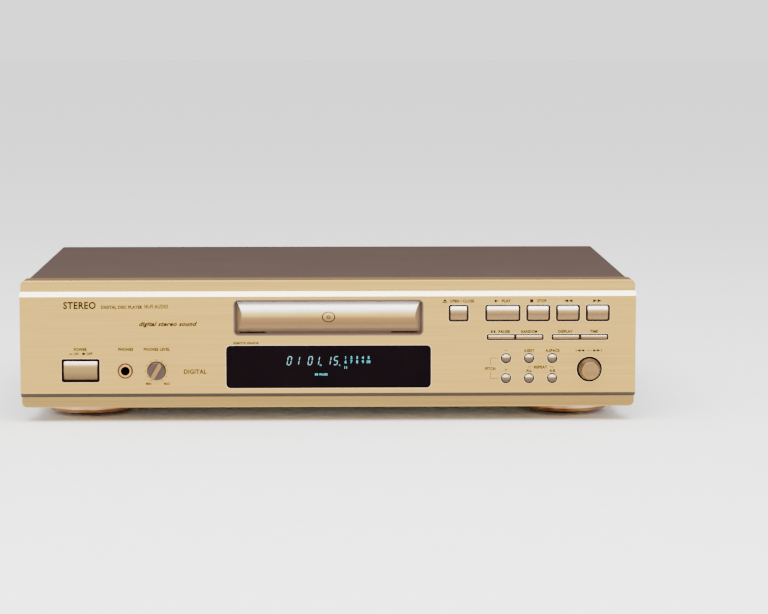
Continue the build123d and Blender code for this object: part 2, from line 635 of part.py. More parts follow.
def raised_board(x0, x1, y0, y1, parts):
    """A circuit board on four stand-offs, with the boxes (x, y, width, depth, height) of its larger parts."""
    board = block(x0, x1, y0, y1, BOARD_Z, BOARD_Z + BOARD_THICK)
    for x in (x0 + 6, x1 - 6):
        for y in (y0 + 6, y1 - 6):
            board += post(x, y, PAN_TOP, BOARD_Z, 6)
    top = BOARD_Z + BOARD_THICK
    for x, y, width, depth, height in parts:
        board += block(x - width / 2, x + width / 2, y - depth / 2, y + depth / 2, top, top + height)
    return board


def power_board():
    """The power supply board, with its fuse holder, regulators and connectors."""
    parts = [(-185, 35, 24, 8, 9), (-120, 108, 40, 3, 26), (-110, 20, 18, 6, 8), (-160, 100, 20, 7, 10)]
    return raised_board(-200, -88, 8, 118, parts)


def main_board():
    """The decoder and audio board, with its larger chips and connectors."""
    parts = [(120, -40, 24, 24, 3), (165, -10, 16, 22, 3), (120, 25, 20, 10, 4), (98, -70, 8, 20, 7),
             (170, 60, 14, 10, 12), (150, 90, 18, 8, 10), (180, -60, 10, 16, 6)]
    return raised_board(86, 200, -88, 118, parts)


def capacitors():
    """The reservoir capacitors of the supply."""
    top = BOARD_Z + BOARD_THICK
    cans = []
    sizes = [(-150, 45, 22, 36), (-122, 45, 22, 36), (-150, 75, 18, 30), (-122, 75, 18, 30),
             (-100, 50, 12, 22), (-100, 72, 12, 22)]
    for x, y, diameter, height in sizes:
        can = post(x, y, top, top + height, diameter)
        cans.append(fillet(can.edges().group_by(Axis.Z)[-1], 0.8))
    return cans


def phono_jacks():
    """The two stereo output sockets in one block."""
    block_z0, block_z1 = PHONO_Z[0] - 9, PHONO_Z[1] + 9
    jacks = block(PHONO_X - 8, PHONO_X + 8, REAR_INSIDE_Y - 12, REAR_INSIDE_Y, block_z0, block_z1)
    for z in PHONO_Z:
        jacks += barrel(PHONO_X, z, REAR_INSIDE_Y, REAR_Y + 0.8, 10.2)
        jacks += barrel(PHONO_X, z, REAR_Y + 0.8, REAR_Y + REACH, 8.3)
        jacks -= barrel(PHONO_X, z, REAR_Y - 5, REAR_Y + REACH + 1, 3.4)
    return jacks


def ac_inlet():
    """The two-pin mains inlet, a recess with two pins."""
    back = REAR_Y + 1.0
    body = panel(INLET_X, INLET_Z, INLET_WIDTH, INLET_HEIGHT, 1.5, REAR_Y - 18, back)
    recess_y = REAR_Y - 10
    recess = barrel(INLET_X - 3.6, INLET_Z, recess_y, back + 1, 9)
    recess += barrel(INLET_X + 3.6, INLET_Z, recess_y, back + 1, 9)
    recess += block(INLET_X - 3.6, INLET_X + 3.6, recess_y, back + 1, INLET_Z - 4.5, INLET_Z + 4.5)
    body -= recess
    for side in (-1, 1):
        body += barrel(INLET_X + 4.3 * side, INLET_Z, recess_y, REAR_Y - 1, 2.4)
    return body


# ---- tray and its drive ------------------------------------------------------
def disc_tray():
    """The tray: a disc recess, a slot for the laser unit, two side rails and a toothed rack."""
    tray = block(-TRAY_HALF, TRAY_HALF, DOOR_BACK_Y, TRAY_REAR_Y, TRAY_UNDERSIDE, TRAY_TOP)
    rail = 6.0
    tray += mirrored(TRAY_HALF - rail, TRAY_HALF, DOOR_BACK_Y, TRAY_RAIL_REAR_Y, TRAY_BOTTOM, TRAY_UNDERSIDE)
    tray += mirrored(TRAY_HALF - rail, TRAY_HALF, TRAY_REAR_Y, TRAY_RAIL_REAR_Y, TRAY_UNDERSIDE, TRAY_TOP)
    tray -= post(0, DISC_Y, TRAY_FLOOR, TRAY_TOP + 1, DISC_RECESS)
    tray -= post(0, DISC_Y, TRAY_FLOOR - 0.8, TRAY_TOP + 1, SMALL_DISC_RECESS)
    slot_half = 18.0
    tray -= post(0, DISC_Y, TRAY_BOTTOM, TRAY_TOP, 2 * slot_half)
    tray -= block(-slot_half, slot_half, DISC_Y, DISC_Y + 60, TRAY_BOTTOM, TRAY_TOP + 1)
    tooth_pitch = pi * RACK_MODULE
    # A tooth space of the rack faces the tooth that the drive gear has on +X
    count = int((TRAY_TRAVEL + 26) / tooth_pitch)
    first = GEAR_Y - 3.5 * tooth_pitch
    root_x = RACK_PITCH_X + 1.25 * RACK_MODULE
    z0, z1 = TRAY_UNDERSIDE - 5, TRAY_UNDERSIDE
    tray += block(root_x, TRAY_HALF - rail, first - 2, first + count * tooth_pitch, z0, z1)
    tray += rack(RACK_PITCH_X, first, count, z0, z1, RACK_MODULE, GEAR_BACKLASH, -1)
    return tray


def tray_door():
    """The curved door on the front of the tray, its ends cut back at 45 degrees."""
    edge_y = DOOR_BACK_Y - 0.7
    top, bottom = DOOR_Z + DOOR_HEIGHT / 2, DOOR_Z - DOOR_HEIGHT / 2
    side = Plane(origin=(-DOOR_WIDTH / 2, 0, 0), x_dir=(0, 1, 0), z_dir=(1, 0, 0))
    bulge = ThreePointArc((edge_y, top), (edge_y - DOOR_BULGE, DOOR_Z), (edge_y, bottom))
    back = Polyline((edge_y, bottom), (DOOR_BACK_Y, bottom), (DOOR_BACK_Y, top), (edge_y, top))
    door = extrude(side * make_face(bulge + back), DOOR_WIDTH)
    reach = DOOR_BULGE + 1
    for end in (-1, 1):
        x = end * DOOR_WIDTH / 2
        cut = [(x, edge_y), (x - end * reach, edge_y - reach), (x + end, edge_y - reach), (x + end, edge_y)]
        door -= extrude(Pos(0, 0, bottom - 1) * make_face(Polyline(*cut, close=True)), DOOR_HEIGHT + 2)
    return door


def loader_frame():
    """The moulded frame that guides the tray and carries the gears, the cam and the laser unit."""
    wall_top = 84.0
    low = 38.0
    step_y = -117.0
    frame = mirrored(FRAME_INSIDE, FRAME_OUTSIDE, FRAME_FRONT_Y, step_y, DECK_Z0, wall_top)
    frame += mirrored(FRAME_INSIDE, FRAME_OUTSIDE, step_y, FRAME_REAR_Y, low, wall_top)
    frame += block(-FRAME_INSIDE, FRAME_INSIDE, FRAME_FRONT_Y, -89, DECK_Z0, DECK_Z1)
    frame += block(-FRAME_INSIDE, FRAME_INSIDE, -91, -89, 42.2, DECK_Z0)
    frame += block(-FRAME_INSIDE, FRAME_INSIDE, -89, -84.2, 42.2, 44.2)
    frame += block(-FRAME_INSIDE, FRAME_INSIDE, 17, 27, low, low + 3)
    frame += block(-FRAME_INSIDE, FRAME_INSIDE, FRAME_REAR_Y - 3, FRAME_REAR_Y, low, wall_top)
    # Ledges under the tray's rails and lugs over its rim
    frame += mirrored(58.5, FRAME_INSIDE, FRAME_FRONT_Y, FRAME_REAR_Y - 3, 63.7, TRAY_BOTTOM - 0.3)
    for y in (-124, -96, -20, 8):
        frame += mirrored(61.5, FRAME_INSIDE, y, y + 8, TRAY_TOP + 0.3, TRAY_TOP + 2)
    for side in (-1, 1):
        for y in (-104, 48):
            frame += post(side * 65.2, y, PAN_TOP, low, 9)
        frame += post(side * GUIDE_POST_X, GUIDE_POST_Y, low + 3, 69, GUIDE_POST)
    frame += post(DRIVE_X, GEAR_Y, DECK_Z1, 71.9, STUD)
    frame += post(PULLEY_X, GEAR_Y, DECK_Z1, 66, STUD)
    frame -= post(MOTOR_X, GEAR_Y, DECK_Z0 - 1, DECK_Z1 + 1, 12.5)
    return frame


def drive_gear():
    """The compound gear that moves the tray: small teeth on the rack, large wheel below."""
    wheel = gear(DRIVE_X, GEAR_Y, 62.6, 65.8, WHEEL_MODULE, WHEEL_TEETH, GEAR_BACKLASH)
    hub = post(DRIVE_X, GEAR_Y, DECK_Z1 + 0.3, 62.6, 8) + post(DRIVE_X, GEAR_Y, 65.8, 68, 20)
    upper = gear(DRIVE_X, GEAR_Y, 68, 71.8, RACK_MODULE, DRIVE_TEETH, GEAR_BACKLASH)
    return wheel + hub + upper - post(DRIVE_X, GEAR_Y, DECK_Z1, 73, STUD_BORE)


def pulley(x, groove):
    """A grooved pulley between two thin flanges."""
    z0, z1, z2, z3 = PULLEY_Z
    flange = groove + 4
    return post(x, GEAR_Y, z0, z1, flange) + post(x, GEAR_Y, z1, z2, groove) + post(x, GEAR_Y, z2, z3, flange)


def pulley_gear():
    """The belt-driven pulley with the pinion that turns the drive gear."""
    # The wheel has a tooth on -X, so half a tooth of turn puts a space of the pinion on +X
    turn = 180 / PINION_TEETH
    pinion = gear(PULLEY_X, GEAR_Y, PULLEY_Z[3], 66.2, WHEEL_MODULE, PINION_TEETH, GEAR_BACKLASH, turn)
    return pulley(PULLEY_X, BELT_GROOVE) + pinion - post(PULLEY_X, GEAR_Y, PULLEY_Z[0] - 1, 67, STUD_BORE)


def solder_tabs(x, y, z0, z1):
    """The two tabs under a motor."""
    tab = block(-8, -5, y - 0.4, y + 0.4, z0, z1 + 1)
    return Pos(x, 0, 0) * (tab + Pos(13, 0, 0) * tab)


def motor(x, y, top, height):
    """A can motor with two tabs and a bore for its shaft."""
    can = post(x, y, top - height, top, MOTOR_DIAMETER)
    can = fillet(can.edges().group_by(Axis.Z)[0], 1.5)
    can += solder_tabs(x, y, top - height - 1.5, top - height)
    return can - post(x, y, top - height + 2, top + 1, MOTOR_BORE)


def motor_pulley():
    """The small pulley on the loading motor's shaft."""
    shaft = post(MOTOR_X, GEAR_Y, DECK_Z0 - 12, PULLEY_Z[0], MOTOR_SHAFT)
    return pulley(MOTOR_X, MOTOR_GROOVE) + shaft


def loading_belt():
    """The rubber belt round the two pulleys."""
    thick, gap = 1.6, 0.3
    z0, z1 = PULLEY_Z[1] + gap, PULLEY_Z[2] - gap

    def loop(extra):
        """The outline of a belt that clears both grooves by the extra distance."""
        big = CenterArc((PULLEY_X, GEAR_Y), BELT_GROOVE / 2 + extra, 0, 360)
        small = CenterArc((MOTOR_X, GEAR_Y), MOTOR_GROOVE / 2 + extra, 0, 360)
        return make_hull([big, small])

    outer, inner = loop(gap + thick), loop(gap)
    return extrude(Pos(0, 0, z0) * (outer - inner), z1 - z0)


def clamp_bridge():
    """The steel bridge over the disc, with the hole that the clamp hangs in."""
    bridge = block(-FRAME_OUTSIDE, FRAME_OUTSIDE, DISC_Y - 24, DISC_Y + 24, BRIDGE_Z0, BRIDGE_Z1)
    bridge -= post(0, DISC_Y, BRIDGE_Z0 - 1, BRIDGE_Z1 + 1, PUCK_DIAMETER + 1.2)
    for side in (-1, 1):
        bridge += block(-FRAME_OUTSIDE, FRAME_OUTSIDE, DISC_Y + side * 22 - 2, DISC_Y + side * 22 + 2,
                        BRIDGE_Z1, BRIDGE_Z1 + 3) - post(0, DISC_Y, BRIDGE_Z0, 90, 42)
        bridge -= block(side * 45 - 10, side * 45 + 10, DISC_Y - 12, DISC_Y + 12,
                        BRIDGE_Z0 - 1, BRIDGE_Z1 + 1)
    return bridge


def clamp_puck():
    """The magnetic clamp that holds a disc on the turntable."""
    bottom = TRAY_TOP + 0.4
    puck = post(0, DISC_Y, bottom, BRIDGE_Z1 + 0.3, PUCK_DIAMETER)
    puck = chamfer(puck.edges().group_by(Axis.Z)[0], 0.6)
    puck += post(0, DISC_Y, BRIDGE_Z1 + 0.3, BRIDGE_Z1 + 2.2, PUCK_DIAMETER + 6)
    puck -= post(0, DISC_Y, bottom - 1, bottom + 3.2, 17)
    return puck


# ---- laser unit --------------------------------------------------------------


def traverse_chassis():
    """The floating plate of the laser unit, with lift pins in front and guide bushes behind."""
    plate = block(-PLATE_HALF, PLATE_HALF, -83, 28, PLATE_Z0, PLATE_Z1)
    plate += block(-PLATE_HALF, PLATE_HALF, -83, -81, 46, PLATE_Z0)
    for side in (-1, 1):
        plate += barrel(side * PIN_X, PIN_Z, -87, -83, PIN)
        plate += post(side * GUIDE_POST_X, GUIDE_POST_Y, 52, PLATE_Z1 + 3, 9)
        plate -= post(side * GUIDE_POST_X, GUIDE_POST_Y, 50, PLATE_Z1 + 4, GUIDE_POST + 0.12)
        for y in (-57, 19):
            plate += block(side * ROD_X - 3.5, side * ROD_X + 3.5, y, y + 6, PLATE_Z1, PLATE_Z1 + 6)
            plate -= barrel(side * ROD_X, ROD_Z, y - 1, y + 7, ROD)
    plate -= post(0, DISC_Y, PLATE_Z0 - 1, PLATE_Z1 + 1, 10)
    plate -= post(SLED_GEAR_X, SLED_GEAR_Y, PLATE_Z0 - 1, PLATE_Z1 + 1, 7)
    plate -= block(-12, 12, -44, 16, PLATE_Z0 - 1, PLATE_Z1 + 1)
    return plate


def guide_rods():
    """The two steel rods that the pickup slides on."""
    return [barrel(side * ROD_X, ROD_Z, -57, 25, ROD) for side in (-1, 1)]


def traverse_motors():
    """The spindle motor and the sled motor, under the plate."""
    return [motor(0, DISC_Y, PLATE_Z0, 10), motor(SLED_GEAR_X, SLED_GEAR_Y, PLATE_Z0, 10)]


def turntable():
    """The turntable: a platter with a centring cone, on the spindle."""
    table = post(0, DISC_Y, PLATTER_Z - 2.4, PLATTER_Z, 30)
    cone = post(0, DISC_Y, PLATTER_Z, PLATTER_Z + 3.5, 14.9)
    cone = chamfer(cone.edges().group_by(Axis.Z)[-1], 2.2, 1.2)
    boss = post(0, DISC_Y, PLATE_Z1 + 1, PLATTER_Z - 2.4, 8)
    return table + cone + boss + post(0, DISC_Y, PLATE_Z0 - 7, PLATE_Z1 + 1, MOTOR_SHAFT)


def pickup():
    """The laser pickup: a sled on two rods, its lens on top and a rack along its right side."""
    lens_y = DISC_Y + LENS_INNER
    front, back = lens_y - 7, lens_y + 21
    sled = block(-25, 25, front, back, PLATE_Z1 + 0.6, 64)
    sled += block(-14, 14, front, back - 4, 64, 66.2)
    sled = sled + post(0, lens_y, 66.2, 67.2, 7) - post(0, lens_y, 66.9, 68, 5)
    for side in (-1, 1):
        sled -= barrel(side * ROD_X, ROD_Z, front - 1, back + 1, ROD + 0.12)
    tooth_pitch = pi * SLED_MODULE
    root_x = SLED_PITCH_X - 1.25 * SLED_MODULE
    z0, z1 = 59.4, 62
    # A space between two teeth of the rack faces the tooth that the sled gear has on -X
    first = SLED_GEAR_Y + 2.5 * tooth_pitch
    count = int((SLED_TRAVEL + 12) / tooth_pitch)
    start = first - (count - 1) * tooth_pitch
    sled += block(25, root_x, front, first + 1.2, z0, z1)
    sled += rack(SLED_PITCH_X, start, count, z0, z1, SLED_MODULE, SLED_BACKLASH, 1)
    return sled


def sled_gear():
    """The gear on the sled motor's shaft that moves the pickup."""
    teeth = gear(SLED_GEAR_X, SLED_GEAR_Y, 59.2, 62.2, SLED_MODULE, SLED_TEETH, SLED_BACKLASH)
    return teeth + post(SLED_GEAR_X, SLED_GEAR_Y, PLATE_Z0 - 7, 59.2, MOTOR_SHAFT)


def cam_slider():
    """The sliding cam in front of the laser unit; its slanted slots lift the two pins."""
    cam = block(-46, 40, -86.5, -84.5, 44.5, 61.0)
    slot = PIN + 0.6
    rise = CAM_TRAVEL * CAM_SLOPE
    for side in (-1, 1):
        start = (side * PIN_X, PIN_Z)
        end = (side * PIN_X - CAM_TRAVEL, PIN_Z + rise)
        plane = Plane(origin=(0, -88, 0), x_dir=(1, 0, 0), z_dir=(0, -1, 0))
        path = plane * slanted_slot(start, end, slot)
        cam -= extrude(path, -6)
    return cam


def slanted_slot(start, end, width):
    """A slot of the given width between two centres."""
    dx, dz = end[0] - start[0], end[1] - start[1]
    length = sqrt(dx * dx + dz * dz)
    turn = Vector(dx, dz, 0).get_signed_angle(Vector(1, 0, 0), Vector(0, 0, -1))
    middle = ((start[0] + end[0]) / 2, (start[1] + end[1]) / 2)
    return Pos(*middle) * Rot(0, 0, turn) * SlotCenterToCenter(length, width)


# ---- write every piece -------------------------------------------------------
def pieces():
    """Every node's name, with its solid or its group of identical solids."""
    key_shapes = keys()
    made = {name: shape for name, (shape, _, _) in key_shapes.items()}
    made["tact_switches"] = tact_switches([(x, z) for _, x, z in key_shapes.values()])
    made["level_pot"] = bushed_control(LEVEL_X, LEVEL_Z, 11, FACE_Y + 0.2)
    made["jog_encoder"] = bushed_control(JOG_X, JOG_Z, 13, FACE_Y + 3.6)
    made["loading_motor"] = motor(MOTOR_X, GEAR_Y, DECK_Z0, 20)
    case = (fascia, top_cover, base_pan, front_plate, rear_panel, feet, foot_pads, case_screws)
    front = (tray_bezel, display_window, display_tube, control_board, key_guide, power_button, power_switch,
             headphone_jack, jack_ring, level_knob, jog_knob)
    electronics = (transformer, power_board, main_board, capacitors, phono_jacks, ac_inlet)
    loader = (disc_tray, tray_door, loader_frame, drive_gear, pulley_gear, motor_pulley, loading_belt,
              clamp_bridge, clamp_puck, cam_slider)
    laser_unit = (traverse_chassis, guide_rods, traverse_motors, turntable, pickup, sled_gear)
    for make in case + front + electronics + loader + laser_unit:
        made[make.__name__] = make()
    return made


os.makedirs("parts", exist_ok=True)
for name, shape in pieces().items():
    if isinstance(shape, list):
        shape = Compound(children=shape)
    export_step(shape, f"parts/{name}.step")
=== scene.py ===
import json
import math

import bmesh
import bpy
from mathutils import Matrix, Vector

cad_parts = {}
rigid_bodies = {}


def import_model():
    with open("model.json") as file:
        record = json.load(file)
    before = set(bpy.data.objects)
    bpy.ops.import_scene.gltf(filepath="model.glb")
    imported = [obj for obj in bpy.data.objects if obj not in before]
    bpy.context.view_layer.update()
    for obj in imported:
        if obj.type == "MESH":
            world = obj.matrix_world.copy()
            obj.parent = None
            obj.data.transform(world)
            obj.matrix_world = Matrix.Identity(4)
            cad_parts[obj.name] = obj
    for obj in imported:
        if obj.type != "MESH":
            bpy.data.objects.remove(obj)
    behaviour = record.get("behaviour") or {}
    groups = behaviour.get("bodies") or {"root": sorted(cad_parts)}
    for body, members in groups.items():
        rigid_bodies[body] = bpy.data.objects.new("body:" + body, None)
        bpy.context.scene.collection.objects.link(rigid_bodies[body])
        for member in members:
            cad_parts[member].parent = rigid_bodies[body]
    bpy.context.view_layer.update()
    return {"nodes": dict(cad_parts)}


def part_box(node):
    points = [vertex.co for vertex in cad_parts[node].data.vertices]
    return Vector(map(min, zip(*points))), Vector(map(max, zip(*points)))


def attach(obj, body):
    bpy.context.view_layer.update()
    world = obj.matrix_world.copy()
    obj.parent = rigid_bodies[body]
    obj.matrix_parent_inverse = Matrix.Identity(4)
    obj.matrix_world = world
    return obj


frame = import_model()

# Lengths in this script are metres. Sizes on the front panel are given in millimetres
# and turned into metres by MM.
MM = 0.001


# ---- places taken from the frame ----------------------------------------------
def corners(node):
    """The lowest and highest corner of a node."""
    low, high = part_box(node)
    return Vector(low), Vector(high)


def centre(node):
    low, high = corners(node)
    return (low + high) / 2


FACE_Y = corners("fascia")[0].y                  # surface of the main face
DISPLAY_FRONT = corners("display_window")[0].y   # surface of the display window
WINDOW_MIDDLE_Z = 40.0                           # millimetres; its flange is taller above than below


# ---- shader building -----------------------------------------------------------
def srgb(red, green, blue):
    """A colour given as 0 to 255 screen values, as linear values."""
    def linear(value):
        value /= 255
        return value / 12.92 if value <= 0.04045 else ((value + 0.055) / 1.055) ** 2.4
    return linear(red), linear(green), linear(blue), 1.0


class Shader:
    """A material with one Principled shader and the nodes that feed it."""

    def __init__(self, name, **inputs):
        self.material = bpy.data.materials.new(name)
        self.material.use_nodes = True
        self.tree = self.material.node_tree
        self.principled = next(node for node in self.tree.nodes if node.type == "BSDF_PRINCIPLED")
        texture = self.tree.nodes.new("ShaderNodeTexCoord")
        self.coordinates = texture.outputs["Object"]
        self.own_box = texture.outputs["Generated"]
        for key, value in inputs.items():
            self.set(key.replace("_", " "), value)

    def set(self, socket, value):
        """Sets a socket of the shader by its name, whatever the case of its letters."""
        found = next(item for item in self.principled.inputs if item.name.lower() == socket.lower())
        found.default_value = value

    def link(self, output, socket):
        found = next(item for item in self.principled.inputs if item.name.lower() == socket.lower())
        self.tree.links.new(output, found)

    def stretched(self, scale):
        """Object coordinates multiplied by a scale for each axis, per metre."""
        mapping = self.tree.nodes.new("ShaderNodeMapping")
        mapping.inputs["Scale"].default_value = scale
        self.tree.links.new(self.coordinates, mapping.inputs["Vector"])
        return mapping.outputs["Vector"]

    def noise(self, scale, detail=2.0, roughness=0.5):
        """Noise whose grains are 1 / scale metres long on each axis."""
        node = self.tree.nodes.new("ShaderNodeTexNoise")
        node.inputs["Scale"].default_value = 1.0
        node.inputs["Detail"].default_value = detail
        node.inputs["Roughness"].default_value = roughness
        self.tree.links.new(self.stretched(scale), node.inputs["Vector"])
        return node.outputs["Fac"]

    def spread(self, fac, low, high, at=(0.3, 0.7)):
        """Turns a 0 to 1 value into one between low and high."""
        node = self.tree.nodes.new("ShaderNodeMapRange")
        for name, value in zip(("From Min", "From Max", "To Min", "To Max"), (*at, low, high)):
            node.inputs[name].default_value = value
        self.tree.links.new(fac, node.inputs["Value"])
        return node.outputs["Result"]

    def between(self, fac, first, second, at=(0.3, 0.7)):
        """Blends two colours by a 0 to 1 value."""
        ramp = self.tree.nodes.new("ShaderNodeValToRGB")
        start, end = ramp.color_ramp.elements
        start.position, end.position = at
        start.color, end.color = first, second
        self.tree.links.new(fac, ramp.inputs["Fac"])
        return ramp.outputs["Color"]

    def painted_light_by_height(self, stops):
        """Painted light and shade: colours that change from the bottom of the node's own box (0) to its top
        (1).
        """
        split = self.tree.nodes.new("ShaderNodeSeparateXYZ")
        self.tree.links.new(self.own_box, split.inputs["Vector"])
        ramp = self.tree.nodes.new("ShaderNodeValToRGB")
        elements = ramp.color_ramp.elements
        while len(elements) < len(stops):
            elements.new(1.0)
        for element, (position, colour) in zip(elements, stops):
            element.position, element.color = position, colour
        self.tree.links.new(split.outputs["Z"], ramp.inputs["Fac"])
        return ramp.outputs["Color"]

    def multiply(self, first, second):
        """Multiplies two colours."""
        node = self.tree.nodes.new("ShaderNodeMix")
        node.data_type = "RGBA"
        node.blend_type = "MULTIPLY"
        node.inputs["Factor"].default_value = 1.0
        self.tree.links.new(first, node.inputs["A"])
        self.tree.links.new(second, node.inputs["B"])
        return node.outputs["Result"]

    def bump(self, height, distance, strength=1.0):
        node = self.tree.nodes.new("ShaderNodeBump")
        node.inputs["Distance"].default_value = distance
        node.inputs["Strength"].default_value = strength
        self.tree.links.new(height, node.inputs["Height"])
        self.link(node.outputs["Normal"], "Normal")


def shade(colour, amount):
    """A colour made darker or lighter."""
    return tuple(min(1.0, part * amount) for part in colour[:3]) + (1.0,)


# ---- materials -------------------------------------------------------------------
GOLD = srgb(190, 152, 68)
# A near-white base for the keys: the painted light tones below give them their gold, their painted shade and
# their painted highlight.
CAP_COLOUR = srgb(236, 232, 224)


def brushed(name, colour, along, metallic=0.85, roughness=0.38, contrast=0.06):
    """Brushed metal: fine lines that run along one axis, with slow changes of tone."""
    across = 1800.0
    fine = [across if axis != along else 9.0 for axis in range(3)]
    coarse = [500.0 if axis != along else 5.0 for axis in range(3)]
    shader = Shader(name, metallic=metallic, roughness=roughness)
    lines = shader.noise(fine, detail=3.0, roughness=0.6)
    bands = shader.noise(coarse, detail=2.0)
    light = shader.between(lines, shade(colour, 1 - contrast), shade(colour, 1 + contrast))
    tone = shader.between(bands, (1 - contrast,) * 3 + (1,), (1, 1, 1, 1))
    shader.link(shader.multiply(light, tone), "Base Color")
    shader.link(shader.spread(lines, roughness - 0.05, roughness + 0.07), "Roughness")
    shader.bump(lines, 0.00002, 0.5)
    return shader.material


def lacquered(name, colour, metallic=0.7, roughness=0.3, coat=0.15, tones=None):
    """Metallic lacquer on plastic: fine flakes under a thin clear coat, slightly worn.

    Tones, when given, are painted light: colours from the bottom of the part to its top, painted shade low
    down and a painted highlight high up. They multiply the lacquer's colour.
    """
    shader = Shader(name, metallic=metallic, roughness=roughness)
    shader.set("Coat Weight", coat)
    shader.set("Coat Roughness", 0.15)
    flakes = shader.noise((3500, 3500, 3500), detail=1.0)
    patches = shader.noise((70, 70, 70), detail=3.0)
    light = shader.between(flakes, shade(colour, 0.94), shade(colour, 1.05))
    tone = shader.between(patches, (0.95, 0.95, 0.95, 1), (1, 1, 1, 1))
    mixed = shader.multiply(light, tone)
    # Painted highlight and painted shade by height, when tones are given.
    if tones:
        mixed = shader.multiply(mixed, shader.painted_light_by_height(tones))
    shader.link(mixed, "Base Color")
    shader.link(shader.spread(patches, roughness - 0.04, roughness + 0.06), "Roughness")
    shader.bump(flakes, 0.000008, 0.4)
    return shader.material


def textured_paint(name, colour, specular=0.5):
    """Satin paint with a fine orange-peel grain and a little dust and handling sheen."""
    shader = Shader(name, roughness=0.5, Specular_IOR_Level=specular)
    grains = shader.noise((1600, 1600, 1600), detail=2.0)
    marks = shader.noise((14, 14, 14), detail=4.0, roughness=0.65)
    light = shader.between(grains, shade(colour, 0.9), shade(colour, 1.1))
    tone = shader.between(marks, (0.93, 0.93, 0.93, 1), (1, 1, 1, 1))
    shader.link(shader.multiply(light, tone), "Base Color")
    shader.link(shader.spread(marks, 0.45, 0.56), "Roughness")
    shader.bump(grains, 0.00003, 0.6)
    return shader.material


def moulded(name, colour, roughness=0.45, grain=2400.0, depth=0.00001, specular=0.5):
    """Moulded plastic with a fine spark-eroded texture."""
    shader = Shader(name, roughness=roughness, Specular_IOR_Level=specular)
    grains = shader.noise((grain,) * 3, detail=1.5)
    flow = shader.noise((40, 40, 12), detail=2.0)
    light = shader.between(grains, shade(colour, 0.93), shade(colour, 1.07))
    tone = shader.between(flow, (0.94, 0.94, 0.94, 1), (1, 1, 1, 1))
    shader.link(shader.multiply(light, tone), "Base Color")
    shader.link(shader.spread(flow, roughness - 0.04, roughness + 0.05), "Roughness")
    shader.bump(grains, depth, 0.5)
    return shader.material


def turned(name, colour):
    """Metal turned in a lathe: rings round the part, and broad upright bands of lighter and darker colour
    that are painted reflections.
    """
    shader = Shader(name, metallic=0.8, roughness=0.3)
    rings = shader.noise((60, 60, 2600), detail=2.0)
    # Painted reflections: broad upright bands of light and dark, as lamps make on a round metal part.
    bands = shader.noise((48, 14, 2), detail=1.0)
    light = shader.between(rings, shade(colour, 0.94), shade(colour, 1.04))
    tone = shader.between(bands, srgb(150, 120, 104), (1, 1, 1, 1))
    shader.link(shader.multiply(light, tone), "Base Color")
    shader.link(shader.spread(rings, 0.25, 0.36), "Roughness")
    shader.bump(rings, 0.00001, 0.4)
    return shader.material


def zinc(name):
    """Zinc-plated sheet steel with its faint crystal spangle."""
    shader = Shader(name, metallic=0.9, roughness=0.4)
    spangle = shader.noise((260, 260, 260), detail=2.0)
    light = shader.between(spangle, srgb(168, 168, 164), srgb(196, 196, 190))
    shader.link(light, "Base Color")
    shader.link(shader.spread(spangle, 0.33, 0.48), "Roughness")
    shader.bump(spangle, 0.00001, 0.3)
    return shader.material


def smoked_window(name):
    """The display window: dark acrylic, polished, with a faint haze."""
    shader = Shader(name, roughness=0.12, Specular_IOR_Level=0.02)
    haze = shader.noise((30, 30, 30), detail=3.0)
    shader.link(shader.between(haze, srgb(5, 1, 3), srgb(10, 3, 6)), "Base Color")
    shader.link(shader.spread(haze, 0.10, 0.16), "Roughness")
    return shader.material


def glow(name, colour, strength):
    """A lit segment of the display, its glow varying a little from place to place."""
    shader = Shader(name, roughness=0.6)
    shader.set("Base Color", shade(colour, 0.3))
    shimmer = shader.noise((900, 900, 900), detail=1.0)
    shader.link(shader.between(shimmer, shade(colour, 0.85), colour), "Emission Color")
    shader.set("Emission Strength", strength)
    return shader.material


def ink(name, colour):
    """Screen-printed ink, slightly uneven in cover."""
    shader = Shader(name, roughness=0.6, Specular_IOR_Level=0.1)
    cover = shader.noise((1500, 1500, 1500), detail=2.0)
    shader.link(shader.between(cover, colour, shade(colour, 1.5)), "Base Color")
    shader.bump(cover, 0.000005, 0.3)
    return shader.material


def circuit_board(name):
    """Phenolic board, tan, with faint tracks under green lacquer."""
    shader = Shader(name, roughness=0.45)
    tracks = shader.noise((220, 900, 220), detail=1.0)
    shader.link(shader.between(tracks, srgb(142, 104, 52), srgb(110, 96, 40), at=(0.46, 0.54)), "Base Color")
    shader.link(shader.spread(tracks, 0.38, 0.5), "Roughness")
    shader.bump(tracks, 0.00003, 0.4)
    return shader.material


def laminations(name):
    """The transformer's core: thin varnished sheets stacked along Y."""
    shader = Shader(name, metallic=0.5, roughness=0.5)
    sheets = shader.noise((20, 1800, 20), detail=2.0)
    shader.link(shader.between(sheets, srgb(46, 40, 38), srgb(92, 84, 78)), "Base Color")
    shader.bump(sheets, 0.0001, 0.6)
    return shader.material


# Painted light on the sprayed parts: painted shade darkens them lower down and a painted highlight whitens
# them high up: (height in the part, colour).
KEY_PAINTED_LIGHT = [(0.0, srgb(168, 136, 88)), (0.15, srgb(138, 111, 66)), (0.45, srgb(108, 77, 30)),
             (0.64, srgb(172, 138, 74)), (0.84, srgb(255, 250, 228)), (1.0, srgb(255, 250, 228))]
DOME_PAINTED_LIGHT = [(0.0, srgb(64, 46, 26)), (0.4, srgb(84, 62, 32)), (0.58, srgb(118, 92, 50)),
              (0.68, srgb(255, 246, 222)), (0.8, srgb(196, 164, 112)), (0.95, srgb(96, 72, 42))]
POWER_PAINTED_LIGHT = [(0.2, srgb(94, 72, 36)), (0.5, srgb(132, 103, 42)), (0.7, srgb(160, 128, 66)),
               (0.84, srgb(255, 242, 214)), (1.0, srgb(255, 250, 238))]
DOOR_PAINTED_LIGHT = [(0.0, srgb(138, 116, 92)), (0.12, srgb(128, 100, 60)), (0.29, srgb(111, 75, 18)),
              (0.46, srgb(128, 91, 24)), (0.62, srgb(220, 191, 98)), (0.74, srgb(255, 252, 246))]

